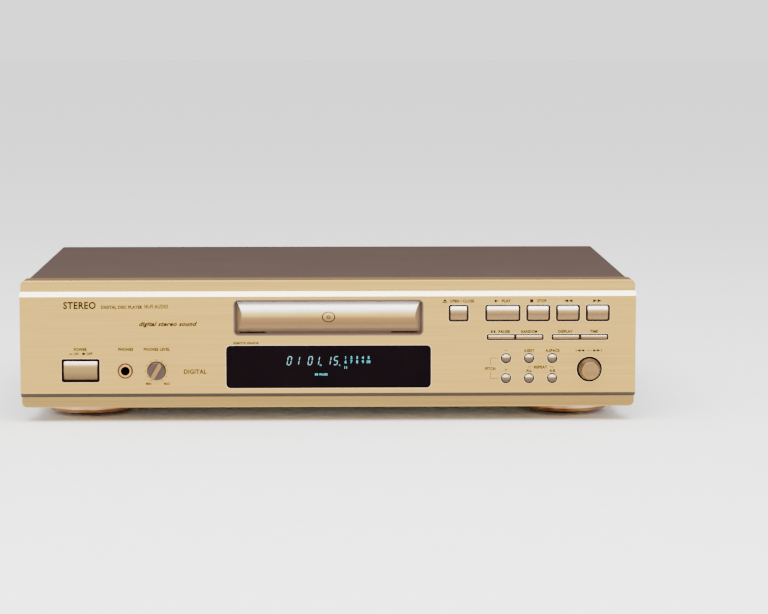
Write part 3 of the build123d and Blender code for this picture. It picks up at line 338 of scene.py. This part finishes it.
M = {
    "panel": brushed("brushed_gold", GOLD, along=0, contrast=0.12),
    # A darker copy of the brushed gold: painted shade on the lower strip.
    "panel_painted_shade": brushed("brushed_gold_painted_shade", srgb(146, 117, 60), along=0, contrast=0.12),
    # A dull dark paint for the fascia's top faces: painted shade.
    "panel_top_painted_shade": textured_paint("fascia_top_painted_shade", srgb(92, 76, 54), specular=0.0),
    "gold_metal": turned("turned_gold", srgb(236, 192, 144)),
    # The keys, domes, power key and door have near-white bases and carry painted light by height: a painted
    # highlight high up and painted shade below.
    "cap": lacquered("cap_lacquer", CAP_COLOUR, metallic=0.35, roughness=0.28, tones=KEY_PAINTED_LIGHT),
    "dome": lacquered("dome_lacquer", CAP_COLOUR, metallic=0.35, roughness=0.28, tones=DOME_PAINTED_LIGHT),
    "power_cap": lacquered("power_lacquer", CAP_COLOUR, metallic=0.35, roughness=0.28, tones=POWER_PAINTED_LIGHT),
    "door": lacquered("door_lacquer", srgb(240, 236, 230), metallic=0.3, roughness=0.3, tones=DOOR_PAINTED_LIGHT),
    "knob": lacquered("knob_lacquer", srgb(124, 90, 38), metallic=0.4, roughness=0.34),
    # A dark copy of the knob lacquer: painted shade on the sides of keys and knobs.
    "knob_side_painted_shade": lacquered("knob_side_lacquer", srgb(60, 38, 32), metallic=0.4, roughness=0.34),
    # Dull dark lacquer for the door's sloping ends: painted shade.
    "door_end_shade": lacquered("door_end_lacquer_painted_shade", srgb(110, 88, 62), metallic=0.0, roughness=0.45, coat=0.0),
    # Dull dark brown lacquer for the tray bezel and the door's top and bottom: painted shade in the door's
    # recess.
    "bezel": lacquered("bezel_lacquer_painted_shade", srgb(86, 63, 50), metallic=0.0, roughness=0.5, coat=0.0),
    "polished": brushed("polished_bevel", srgb(240, 228, 198), along=0, metallic=1.0, roughness=0.16,
                        contrast=0.02),
    # A dark brown lacquer for the lower bevel, which faces down: painted shade.
    "lower_bevel_painted_shade": lacquered("shaded_bevel", srgb(46, 34, 29), metallic=0.2, roughness=0.5, coat=0.0),
    "cover": textured_paint("cover_paint", srgb(66, 55, 51), specular=0.0),
    "rear": textured_paint("rear_paint", srgb(34, 32, 32)),
    "zinc": zinc("zinc_steel"),
    "window": smoked_window("smoked_acrylic"),
    "frame": moulded("key_frame_plastic", srgb(38, 16, 18), roughness=0.6, specular=0.06),
    "black": moulded("black_plastic", srgb(26, 25, 26), specular=0.3),
    "grey": moulded("tray_plastic", srgb(58, 54, 54)),
    "white": moulded("acetal", srgb(226, 222, 210), roughness=0.35),
    "rubber": moulded("rubber", srgb(24, 23, 23), roughness=0.8, grain=900, depth=0.00004),
    "bright": brushed("ground_steel", srgb(200, 200, 200), along=1, metallic=1.0, roughness=0.22),
    "ring": brushed("jack_ring_gold", srgb(198, 142, 64), along=1, metallic=1.0, roughness=0.24),
    "brass": brushed("gold_plate", srgb(226, 186, 92), along=1, metallic=1.0, roughness=0.2),
    "board": circuit_board("phenolic_board"),
    "core": laminations("laminations"),
    "sleeve": moulded("can_sleeve", srgb(28, 34, 58), roughness=0.3),
    "glass": moulded("tube_glass", srgb(44, 52, 56), roughness=0.12),
    "dark_print": ink("dark_panel_ink", srgb(8, 5, 5)),
    # A lighter copy of the panel's brushed gold for the rims round the openings: painted highlight.
    "edge": brushed("cut_edge_painted_highlight", srgb(226, 204, 160), along=0, roughness=0.36, contrast=0.03),
    "lit": glow("lit_segment", srgb(140, 218, 228), 1.1),
    "dim": glow("dim_segment", srgb(70, 205, 225), 1.0),
}

FINISHES = {
    "panel": ["fascia"],
    "gold_metal": ["feet"],
    "cap": ["open_close_button", "play_button", "stop_button", "rewind_button", "forward_button", "pause_key",
            "random_key", "display_key", "time_key"],
    "dome": ["pitch_down_button", "pitch_up_button", "edit_button", "space_button", "repeat_button",
             "repeat_ab_button"],
    "power_cap": ["power_button"],
    "door": ["tray_door"],
    "knob": ["level_knob", "jog_knob"],
    "bezel": ["tray_bezel"],
    "cover": ["top_cover"],
    "rear": ["rear_panel"],
    "zinc": ["base_pan", "front_plate", "clamp_bridge", "traverse_chassis", "traverse_motors",
             "loading_motor", "level_pot", "jog_encoder"],
    "window": ["display_window"],
    "frame": ["key_guide"],
    "black": ["headphone_jack", "ac_inlet", "loader_frame", "clamp_puck", "turntable", "pickup",
              "power_switch", "tact_switches"],
    "grey": ["disc_tray"],
    "white": ["drive_gear", "pulley_gear", "cam_slider", "sled_gear"],
    "rubber": ["foot_pads", "loading_belt"],
    "bright": ["case_screws", "guide_rods"],
    "ring": ["jack_ring"],
    "brass": ["phono_jacks", "motor_pulley"],
    "board": ["control_board", "power_board", "main_board"],
    "core": ["transformer"],
    "sleeve": ["capacitors"],
    "glass": ["display_tube"],
}

for finish, nodes in FINISHES.items():
    for node in nodes:
        item = frame["nodes"][node]
        item.data.materials.clear()
        item.data.materials.append(M[finish])


def refinish(node, finish, chosen):
    """Gives the faces of a node that a test picks a second finish."""
    mesh = frame["nodes"][node].data
    mesh.materials.append(M[finish])
    for face in mesh.polygons:
        if chosen(face.center, face.normal):
            face.material_index = len(mesh.materials) - 1


def on_bevel(low, high):
    """A test for faces of the fascia's front that slope up or down between two heights, in millimetres."""
    def test(middle, normal):
        sloping = 0.25 < abs(normal.z) < 0.97 and abs(normal.x) < 0.3
        return sloping and middle.y < FACE_Y + 5 * MM and low * MM < middle.z < high * MM
    return test


UPPER_BEVEL, LOWER_BEVEL = (88, 95), (17, 23)        # heights that hold each bevel, millimetres
refinish("fascia", "polished", on_bevel(*UPPER_BEVEL))
# The lower bevel takes the dark brown lacquer: painted shade.
refinish("fascia", "lower_bevel_painted_shade", on_bevel(*LOWER_BEVEL))
# The fascia's top faces take the dull dark paint: painted shade along the top.
refinish("fascia", "panel_top_painted_shade", lambda middle, normal: normal.z > 0.8 and middle.z > 100 * MM)
# The lower strip under the main face takes the darker brushed gold: painted shade.
refinish("fascia", "panel_painted_shade", lambda middle, normal: normal.y < -0.9 and middle.z < 18 * MM)
# The sides of the keys take the dark knob lacquer: painted shade.
for key in FINISHES["cap"] + FINISHES["power_cap"]:
    refinish(key, "knob_side_painted_shade", lambda middle, normal: abs(normal.y) < 0.25)
# The power button's flange, deep behind the face, takes the dark frame colour: painted shade in its recess.
refinish("power_button", "frame", lambda middle, normal: middle.y > FACE_Y + 3 * MM)
# The door's sloping ends take the dull dark lacquer: painted shade.
refinish("tray_door", "door_end_shade", lambda middle, normal: abs(normal.x) > 0.15)
# The door's top and bottom faces take the bezel's dark lacquer: painted shade.
refinish("tray_door", "bezel", lambda middle, normal: abs(normal.y) < 0.3)
# The jog knob's flank and the level knob's skirt near the face take the dark knob lacquer: painted shade.
refinish("jog_knob", "knob_side_painted_shade", lambda middle, normal: abs(normal.y) < 0.75)
refinish("level_knob", "knob_side_painted_shade", lambda middle, normal: middle.y > FACE_Y - 4 * MM)


# ---- making pieces ---------------------------------------------------------------
def piece(name, mesh, material, body="case"):
    """Puts a mesh into the scene as a piece that rides on a body."""
    made = bpy.data.objects.new(name, mesh)
    bpy.context.scene.collection.objects.link(made)
    mesh.materials.clear()
    mesh.materials.append(M[material])
    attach(made, body)
    return made


def mesh_from(name, build):
    """A mesh that a function fills through bmesh."""
    work = bmesh.new()
    build(work)
    bmesh.ops.recalc_face_normals(work, faces=work.faces)
    mesh = bpy.data.meshes.new(name)
    work.to_mesh(mesh)
    work.free()
    return mesh


INK = 0.03 * MM          # thickness of printed ink


def add_prism(work, outline, y_back, thick):
    """Adds a flat shape, given by (x, z) points in millimetres, that stands off the surface at y_back."""
    front = [work.verts.new((x * MM, y_back - thick, z * MM)) for x, z in outline]
    back = [work.verts.new((x * MM, y_back, z * MM)) for x, z in outline]
    work.faces.new(front)
    work.faces.new(reversed(back))
    for number in range(len(outline)):
        other = (number + 1) % len(outline)
        work.faces.new((front[number], back[number], back[other], front[other]))


def rectangle(x, z, width, height):
    """Corners of a rectangle about its centre."""
    half_w, half_h = width / 2, height / 2
    return [(x - half_w, z - half_h), (x + half_w, z - half_h),
            (x + half_w, z + half_h), (x - half_w, z + half_h)]


def disc(x, z, radius, count=24):
    """Points of a circle."""
    return [(x + radius * math.cos(2 * math.pi * n / count), z + radius * math.sin(2 * math.pi * n / count))
            for n in range(count)]


def triangle(x, z, width, height, towards=1):
    """A triangle that points right (1) or left (-1), about its centre."""
    return [(x - towards * width / 2, z - height / 2), (x + towards * width / 2, z),
            (x - towards * width / 2, z + height / 2)]


LETTER_SPACING = 1.08


def text_mesh(words, height, slant, weight):
    """The built-in font's letters as a flat mesh: lower left at the origin, capitals of the given height."""
    curve = bpy.data.curves.new("words", "FONT")
    curve.body = words
    curve.size = 1.0
    curve.space_character = LETTER_SPACING
    curve.shear = slant
    curve.offset = weight
    curve.resolution_u = 3
    capital = bpy.data.curves.new("capital", "FONT")
    capital.body = "H"
    holders = [bpy.data.objects.new(item.name, item) for item in (curve, capital)]
    for holder in holders:
        bpy.context.scene.collection.objects.link(holder)
    bpy.context.view_layer.update()
    depsgraph = bpy.context.evaluated_depsgraph_get()
    meshes = [bpy.data.meshes.new_from_object(holder.evaluated_get(depsgraph)) for holder in holders]
    tall = max(v.co.y for v in meshes[1].vertices) - min(v.co.y for v in meshes[1].vertices)
    scale = height / tall
    for holder in holders:
        bpy.data.objects.remove(holder)
    meshes[0].transform(Matrix.Scale(scale, 4))
    return meshes[0]


# ---- front panel printing ---------------------------------------------------------
SMALL, TINY = 1.9, 1.6       # heights of capital letters, millimetres


def label(words, x, z, height, material="dark_print", slant=0.0, width=None, weight=0.02):
    """Prints words on the main face, centred at x and z in millimetres."""
    mesh = text_mesh(words, height * MM, slant, weight)
    low = [min(v.co[axis] for v in mesh.vertices) for axis in range(2)]
    high = [max(v.co[axis] for v in mesh.vertices) for axis in range(2)]
    stretch = width * MM / (high[0] - low[0]) if width else 1.0
    for vertex in mesh.vertices:
        across = (vertex.co.x - (low[0] + high[0]) / 2) * stretch
        up = vertex.co.y - height * MM / 2
        vertex.co = Vector((x * MM + across, FACE_Y - INK, z * MM + up))
    joined = words.lower().replace(" ", "_")
    plain_words = "".join(letter for letter in joined if letter.isalnum() or letter == "_")
    return piece(f"print_{plain_words}_{len(bpy.data.objects)}", mesh, material)


# words: x, z, cap height and printed width, all in millimetres
LABELS = [
    ("STEREO", -174.9, 83.9, 4.6, 23.0),
    ("DIGITAL DISC PLAYER", -145.3, 82.6, 2.0, 29.1),
    ("HI-FI AUDIO", -121.0, 83.0, 2.6, 16.7),
    ("POWER", -174.6, 52.7, SMALL, 9.4),
    ("ON", -177.6, 49.7, TINY, 3.4),
    ("OFF", -168.3, 49.7, TINY, 4.4),
    ("PHONES", -142.8, 52.7, SMALL, 10.6),
    ("PHONES LEVEL", -120.9, 52.7, SMALL, 18.6),
    ("MIN", -126.9, 28.3, TINY, 3.9),
    ("MAX", -113.9, 28.3, TINY, 4.4),
    ("DIGITAL", -94.0, 36.8, 3.0, 16.0),
    ("REMOTE SENSOR", -58.0, 56.9, 1.5, 18.0),
    ("OPEN / CLOSE", 94.0, 86.4, SMALL, 17.4),
    ("PLAY", 125.4, 86.4, SMALL, 6.4),
    ("STOP", 150.4, 86.4, SMALL, 6.6),
    ("PAUSE", 123.9, 64.6, SMALL, 8.2),
    ("RANDOM", 141.6, 64.6, SMALL, 11.3),
    ("DISPLAY", 167.2, 64.6, SMALL, 10.5),
    ("TIME", 187.4, 64.6, SMALL, 5.6),
    ("A.EDIT", 141.6, 51.1, SMALL, 7.4),
    ("A.SPACE", 158.1, 51.1, SMALL, 10.0),
    ("REPEAT", 149.8, 39.3, SMALL, 9.4),
    ("ALL", 141.6, 36.8, SMALL, 4.2),
    ("A-B", 158.1, 36.8, SMALL, 4.1),
    ("PITCH", 114.2, 38.3, SMALL, 7.4),
]
for words, x, z, height, width in LABELS:
    label(words, x, z, height, width=width, weight=0.05 if height < 2.5 else 0.035)
label("digital stereo sound", -112.8, 70.7, 2.8, slant=0.35, width=41.0, weight=0.045)


def signs(work):
    """The printed transport signs: eject, play, stop, search, skip and pause, and a dark disc of painted
    shade behind the level knob.
    """
    def add(outline):
        add_prism(work, outline, FACE_Y, INK)

    row = 86.4
    add([(80.3, row - 0.4), (83.7, row - 0.4), (82.0, row + 1.5)])
    add(rectangle(82.0, row - 1.05, 3.4, 0.55))
    add(triangle(118.5, row, 2.9, 2.3))
    add(rectangle(143.2, row, 2.3, 2.3))
    for x, towards in ((169.0, -1), (189.7, 1)):
        for step in (-1.55, 1.55):
            add(triangle(x + step, row, 3.1, 2.3, towards))
    skip = 51.1
    for x, towards in ((178.0, -1), (189.6, 1)):
        for step in (-1.35, 1.35):
            add(triangle(x + step, skip, 2.7, 2.0, towards))
        add(rectangle(x + towards * 3.2, skip, 0.45, 2.0))
    for step in (-0.95, 0.95):
        add(rectangle(116.1 + step, 64.6, 1.2, 2.0))
    # Power marks: pressed and released
    add(rectangle(-181.3, 49.5, 2.4, 0.7))
    add(rectangle(-172.4, 49.7, 2.0, 1.7))
    # A dark disc of ink behind the level knob, seen as a dark line round it: painted shade in the gap round
    # the knob
    level = centre("level_knob") / MM
    add(disc(level.x, level.z, 6.7, 48))
    # Pitch marks
    add(rectangle(125.3, 51.4, 2.0, 0.4))
    add(rectangle(125.3, 37.5, 1.8, 0.4))
    add(rectangle(125.3, 37.5, 0.4, 1.8))


piece("printed_signs_and_painted_shade", mesh_from("printed_signs_and_painted_shade", signs), "dark_print")


def guide_lines(work):
    """Thin lines that tie labels to their keys, and the dots round the level knob."""
    thick = 0.32

    def line(x0, z0, x1, z1):
        across, up = max(abs(x1 - x0), thick), max(abs(z1 - z0), thick)
        add_prism(work, rectangle((x0 + x1) / 2, (z0 + z1) / 2, across, up), FACE_Y, INK)

    left, right = 114.3, 120.0
    line(left, 45.9, right, 45.9)
    line(left, 45.9, left, 40.8)
    line(left, 36.0, left, 31.4)
    line(left, 31.4, right, 31.4)
    # Brackets over the two repeat keys
    for x, end in ((141.4, 143.4), (158.2, 156.2)):
        line(x, 39.6, end, 39.6)
        line(x, 39.6, x, 38.6)
    line(182.0, 51.1, 186.0, 51.1)
    knob = centre("level_knob") / MM
    ring = 7.8
    for number in range(11):
        clock = math.radians(210 + 30 * number)
        x, z = knob.x + ring * math.sin(clock), knob.z + ring * math.cos(clock)
        add_prism(work, disc(x, z, 0.4, 12), FACE_Y, INK)


piece("guide_lines", mesh_from("guide_lines", guide_lines), "dark_print")


# ---- cut edges of the openings, with a painted highlight ----------------------------
def rounded(x, z, width, height, radius, steps=6):
    """Points round a rectangle with rounded corners."""
    points = []
    for number, (sx, sz) in enumerate(((1, 1), (-1, 1), (-1, -1), (1, -1))):
        for step in range(steps + 1):
            angle = math.radians(90 * (number + step / steps))
            points.append((x + sx * (width / 2 - radius) + radius * math.cos(angle),
                           z + sz * (height / 2 - radius) + radius * math.sin(angle)))
    return points


def add_edge(work, x, z, width, height, radius, thick=0.25):
    """A narrow sloping rim round an opening, highest where it meets the opening."""
    inner = rounded(x, z, width, height, radius)
    outer = rounded(x, z, width + 2 * thick, height + 2 * thick, radius + thick)
    levels = [(inner, FACE_Y + 0.1 * MM), (inner, FACE_Y - 0.09 * MM), (outer, FACE_Y - 0.02 * MM),
              (outer, FACE_Y + 0.1 * MM)]
    rings = [[work.verts.new((px * MM, y, pz * MM)) for px, pz in points] for points, y in levels]
    count = len(inner)
    for ring in range(len(rings)):
        first, second = rings[ring], rings[(ring + 1) % len(rings)]
        for number in range(count):
            other = (number + 1) % count
            work.faces.new((first[number], first[other], second[other], second[number]))


def add_round_edge(work, node, diameter):
    """A rim round the round opening of a node."""
    place = centre(node) / MM
    add_edge(work, place.x, place.z, diameter, diameter, diameter / 2 - 0.01)


# Openings of the main face, in millimetres: width, height and corner radius
KEY_MARGIN, KEY_OPENING_HEIGHT, KEY_CORNER = 1.8, 12.2, 2.0
THIN_PAIR_OPENING = (40.5, 4.4, 1.2)
POWER_OPENING = (27.0, 16.8, 1.5)
WINDOW_OPENING = (144.7, 30.4, 3.2)
ROUND_KEY_OPENING, JOG_OPENING = 7.6, 18.2       # diameters


def opening_edges(work):
    """A bright cut edge round the openings of the main face; its pale colour is a painted highlight."""
    for node in ("open_close_button", "play_button", "stop_button", "rewind_button", "forward_button"):
        low, high = (corner / MM for corner in corners(node))
        width = (high.x - low.x) + KEY_MARGIN
        add_edge(work, (low.x + high.x) / 2, (low.z + high.z) / 2, width, KEY_OPENING_HEIGHT, KEY_CORNER)
    for left, right in (("pause_key", "random_key"), ("display_key", "time_key")):
        middle = (centre(left) + centre(right)) / 2 / MM
        add_edge(work, middle.x, middle.z, *THIN_PAIR_OPENING)
    for node in FINISHES["dome"]:
        add_round_edge(work, node, ROUND_KEY_OPENING)
    add_round_edge(work, "jog_knob", JOG_OPENING)
    power = centre("power_button") / MM
    add_edge(work, power.x, power.z, *POWER_OPENING)
    add_edge(work, centre("display_window").x / MM, WINDOW_MIDDLE_Z, *WINDOW_OPENING, thick=0.4)


piece("opening_edges", mesh_from("opening_edges", opening_edges), "edge")


# ---- display ------------------------------------------------------------------------
SEGMENTS = {"0": "abcdef", "1": "bc", "4": "bcfg", "5": "acdfg"}
DIGIT_WIDTH, DIGIT_HEIGHT, STROKE = 2.5, 5.8, 0.38
SLANT = math.tan(math.radians(10))


def slanted(points, base):
    """Leans points to the right by their height over a base line."""
    return [(x + (z - base) * SLANT, z) for x, z in points]


def add_digit(work, figure, x, base):
    """One seven-segment figure, its lower left corner at x and base."""
    half, gap = DIGIT_HEIGHT / 2, 0.25
    w, s = DIGIT_WIDTH, STROKE

    def across(z):
        left, right = x + gap, x + w - gap
        return [(left, z), (left + s / 2, z + s / 2), (right - s / 2, z + s / 2), (right, z),
                (right - s / 2, z - s / 2), (left + s / 2, z - s / 2)]

    def upright(px, z):
        low, high = z + gap, z + half - gap
        return [(px, low), (px - s / 2, low + s / 2), (px - s / 2, high - s / 2), (px, high),
                (px + s / 2, high - s / 2), (px + s / 2, low + s / 2)]

    shapes = {
        "a": across(base + 2 * half), "g": across(base + half), "d": across(base),
        "f": upright(x, base + half), "e": upright(x, base),
        "b": upright(x + w, base + half), "c": upright(x + w, base),
    }
    for letter in SEGMENTS[figure]:
        add_prism(work, list(reversed(slanted(shapes[letter], base))), DISPLAY_FRONT, INK)


def display_digits(work):
    """Track 01, minute 01 and second 15."""
    base = 41.4
    for figure, x in zip("010115", (-29.4, -23.8, -14.7, -9.8, -1.6, 3.4)):
        add_digit(work, figure, x, base)


piece("display_digits", mesh_from("display_digits", display_digits), "lit")


def lit_words(words, x, z, height, width=None):
    """Small lit words in the display."""
    made = label(words, x, z, height, "dim", width=width)
    for vertex in made.data.vertices:
        vertex.co.y += DISPLAY_FRONT - FACE_Y


TRACK_X, TRACK_PITCH = 12.0, 4.05
TRACK_ROWS = (46.4, 43.4)
for number in range(10):
    row, column = divmod(number, 5)
    lit_words(str(number + 1), TRACK_X + TRACK_PITCH * column, TRACK_ROWS[row], 1.9)
lit_words("11", TRACK_X, 39.4, 1.7)
lit_words("m", -5.6, 41.3, 1.2)
lit_words("s", 7.8, 41.3, 1.2)
lit_words("PAUSE", -3.6, 34.5, 1.3, width=5.6)


def pause_marks(work):
    """The two bars of the pause sign in the display."""
    for x in (-9.2, -8.0):
        add_prism(work, rectangle(x, 34.5, 0.7, 1.4), DISPLAY_FRONT, INK)


piece("pause_marks", mesh_from("pause_marks", pause_marks), "dim")


# ---- disc sign on the tray door --------------------------------------------------------
def door_surface(z):
    """The y of the door's curved front at a height."""
    low, high = corners("tray_door")
    edge = 0.7 * MM
    sagitta = (high.y - low.y) - edge
    half = (high.z - low.z) / 2
    radius = (half ** 2 + sagitta ** 2) / (2 * sagitta)
    rise = z - (low.z + high.z) / 2
    return low.y + radius - math.sqrt(radius ** 2 - rise ** 2)


def disc_sign(work):
    """A plain sign of a disc: two rings."""
    place = centre("tray_door")
    count = 64
    stretch = 1.25           # the sign is wider than it is tall
    for inner, outer in ((3.2, 3.8), (0.6, 1.2)):
        rings = []
        for radius in (inner, outer):
            ring = []
            for number in range(count):
                angle = 2 * math.pi * number / count
                x = place.x + radius * MM * math.cos(angle) * stretch
                z = place.z + radius * MM * math.sin(angle)
                ring.append((x, z))
            rings.append(ring)
        front = [[work.verts.new((x, door_surface(z) - INK, z)) for x, z in ring] for ring in rings]
        back = [[work.verts.new((x, door_surface(z) + INK, z)) for x, z in ring] for ring in rings]
        for number in range(count):
            other = (number + 1) % count
            work.faces.new((front[0][number], front[0][other], front[1][other], front[1][number]))
            work.faces.new((back[0][number], back[1][number], back[1][other], back[0][other]))
            work.faces.new((front[0][number], back[0][number], back[0][other], front[0][other]))
            work.faces.new((front[1][number], front[1][other], back[1][other], back[1][number]))


piece("disc_sign", mesh_from("disc_sign", disc_sign), "dark_print", body="tray")


# ---- floor, light and camera --------------------------------------------------------------
def matt_floor():
    """A plain pale floor, large enough to fill every view."""
    shader = Shader("floor_paper", roughness=0.9)
    grain = shader.noise((60, 60, 60), detail=2.0)
    shader.link(shader.between(grain, srgb(246, 246, 246), srgb(250, 250, 250)), "Base Color")
    mesh = bpy.data.meshes.new("floor")
    reach = 14.0
    mesh.from_pydata([(-reach, -reach, 0), (reach, -reach, 0), (reach, reach, 0), (-reach, reach, 0)], [],
                     [(0, 1, 2, 3)])
    mesh.materials.append(shader.material)
    made = bpy.data.objects.new("floor", mesh)
    bpy.context.scene.collection.objects.link(made)


matt_floor()


def soft_light(name, place, aim, width, height, watts):
    """A large rectangular lamp at a place, turned to a point."""
    lamp = bpy.data.lights.new(name, "AREA")
    lamp.shape = "RECTANGLE"
    lamp.size, lamp.size_y = width, height
    lamp.energy = watts
    holder = bpy.data.objects.new(name, lamp)
    holder.location = place
    holder.rotation_euler = (Vector(aim) - Vector(place)).to_track_quat("-Z", "Y").to_euler()
    bpy.context.scene.collection.objects.link(holder)


soft_light("overhead", place=(0.0, -1.06, 1.49), aim=(0, -0.14, 0.07), width=2.0, height=1.4, watts=95)
world = bpy.data.worlds.new("studio")
world.use_nodes = True
world.node_tree.nodes["Background"].inputs["Color"].default_value = (1.0, 1.0, 1.0, 1.0)
world.node_tree.nodes["Background"].inputs["Strength"].default_value = 1.7
bpy.context.scene.world = world

# The camera is aimed a little above and to the right of the player, which stands left of the middle and low.
camera = bpy.data.cameras.new("camera")
camera.lens = 127.7
pitch_down, yaw_right = 6.215, 1.309        # degrees
camera_holder = bpy.data.objects.new("camera", camera)
camera_holder.location = (-0.0045, -2.0467, 0.29)
camera_holder.rotation_euler = (math.radians(90 - pitch_down), 0, math.radians(-yaw_right))
bpy.context.scene.collection.objects.link(camera_holder)
bpy.context.scene.camera = camera_holder
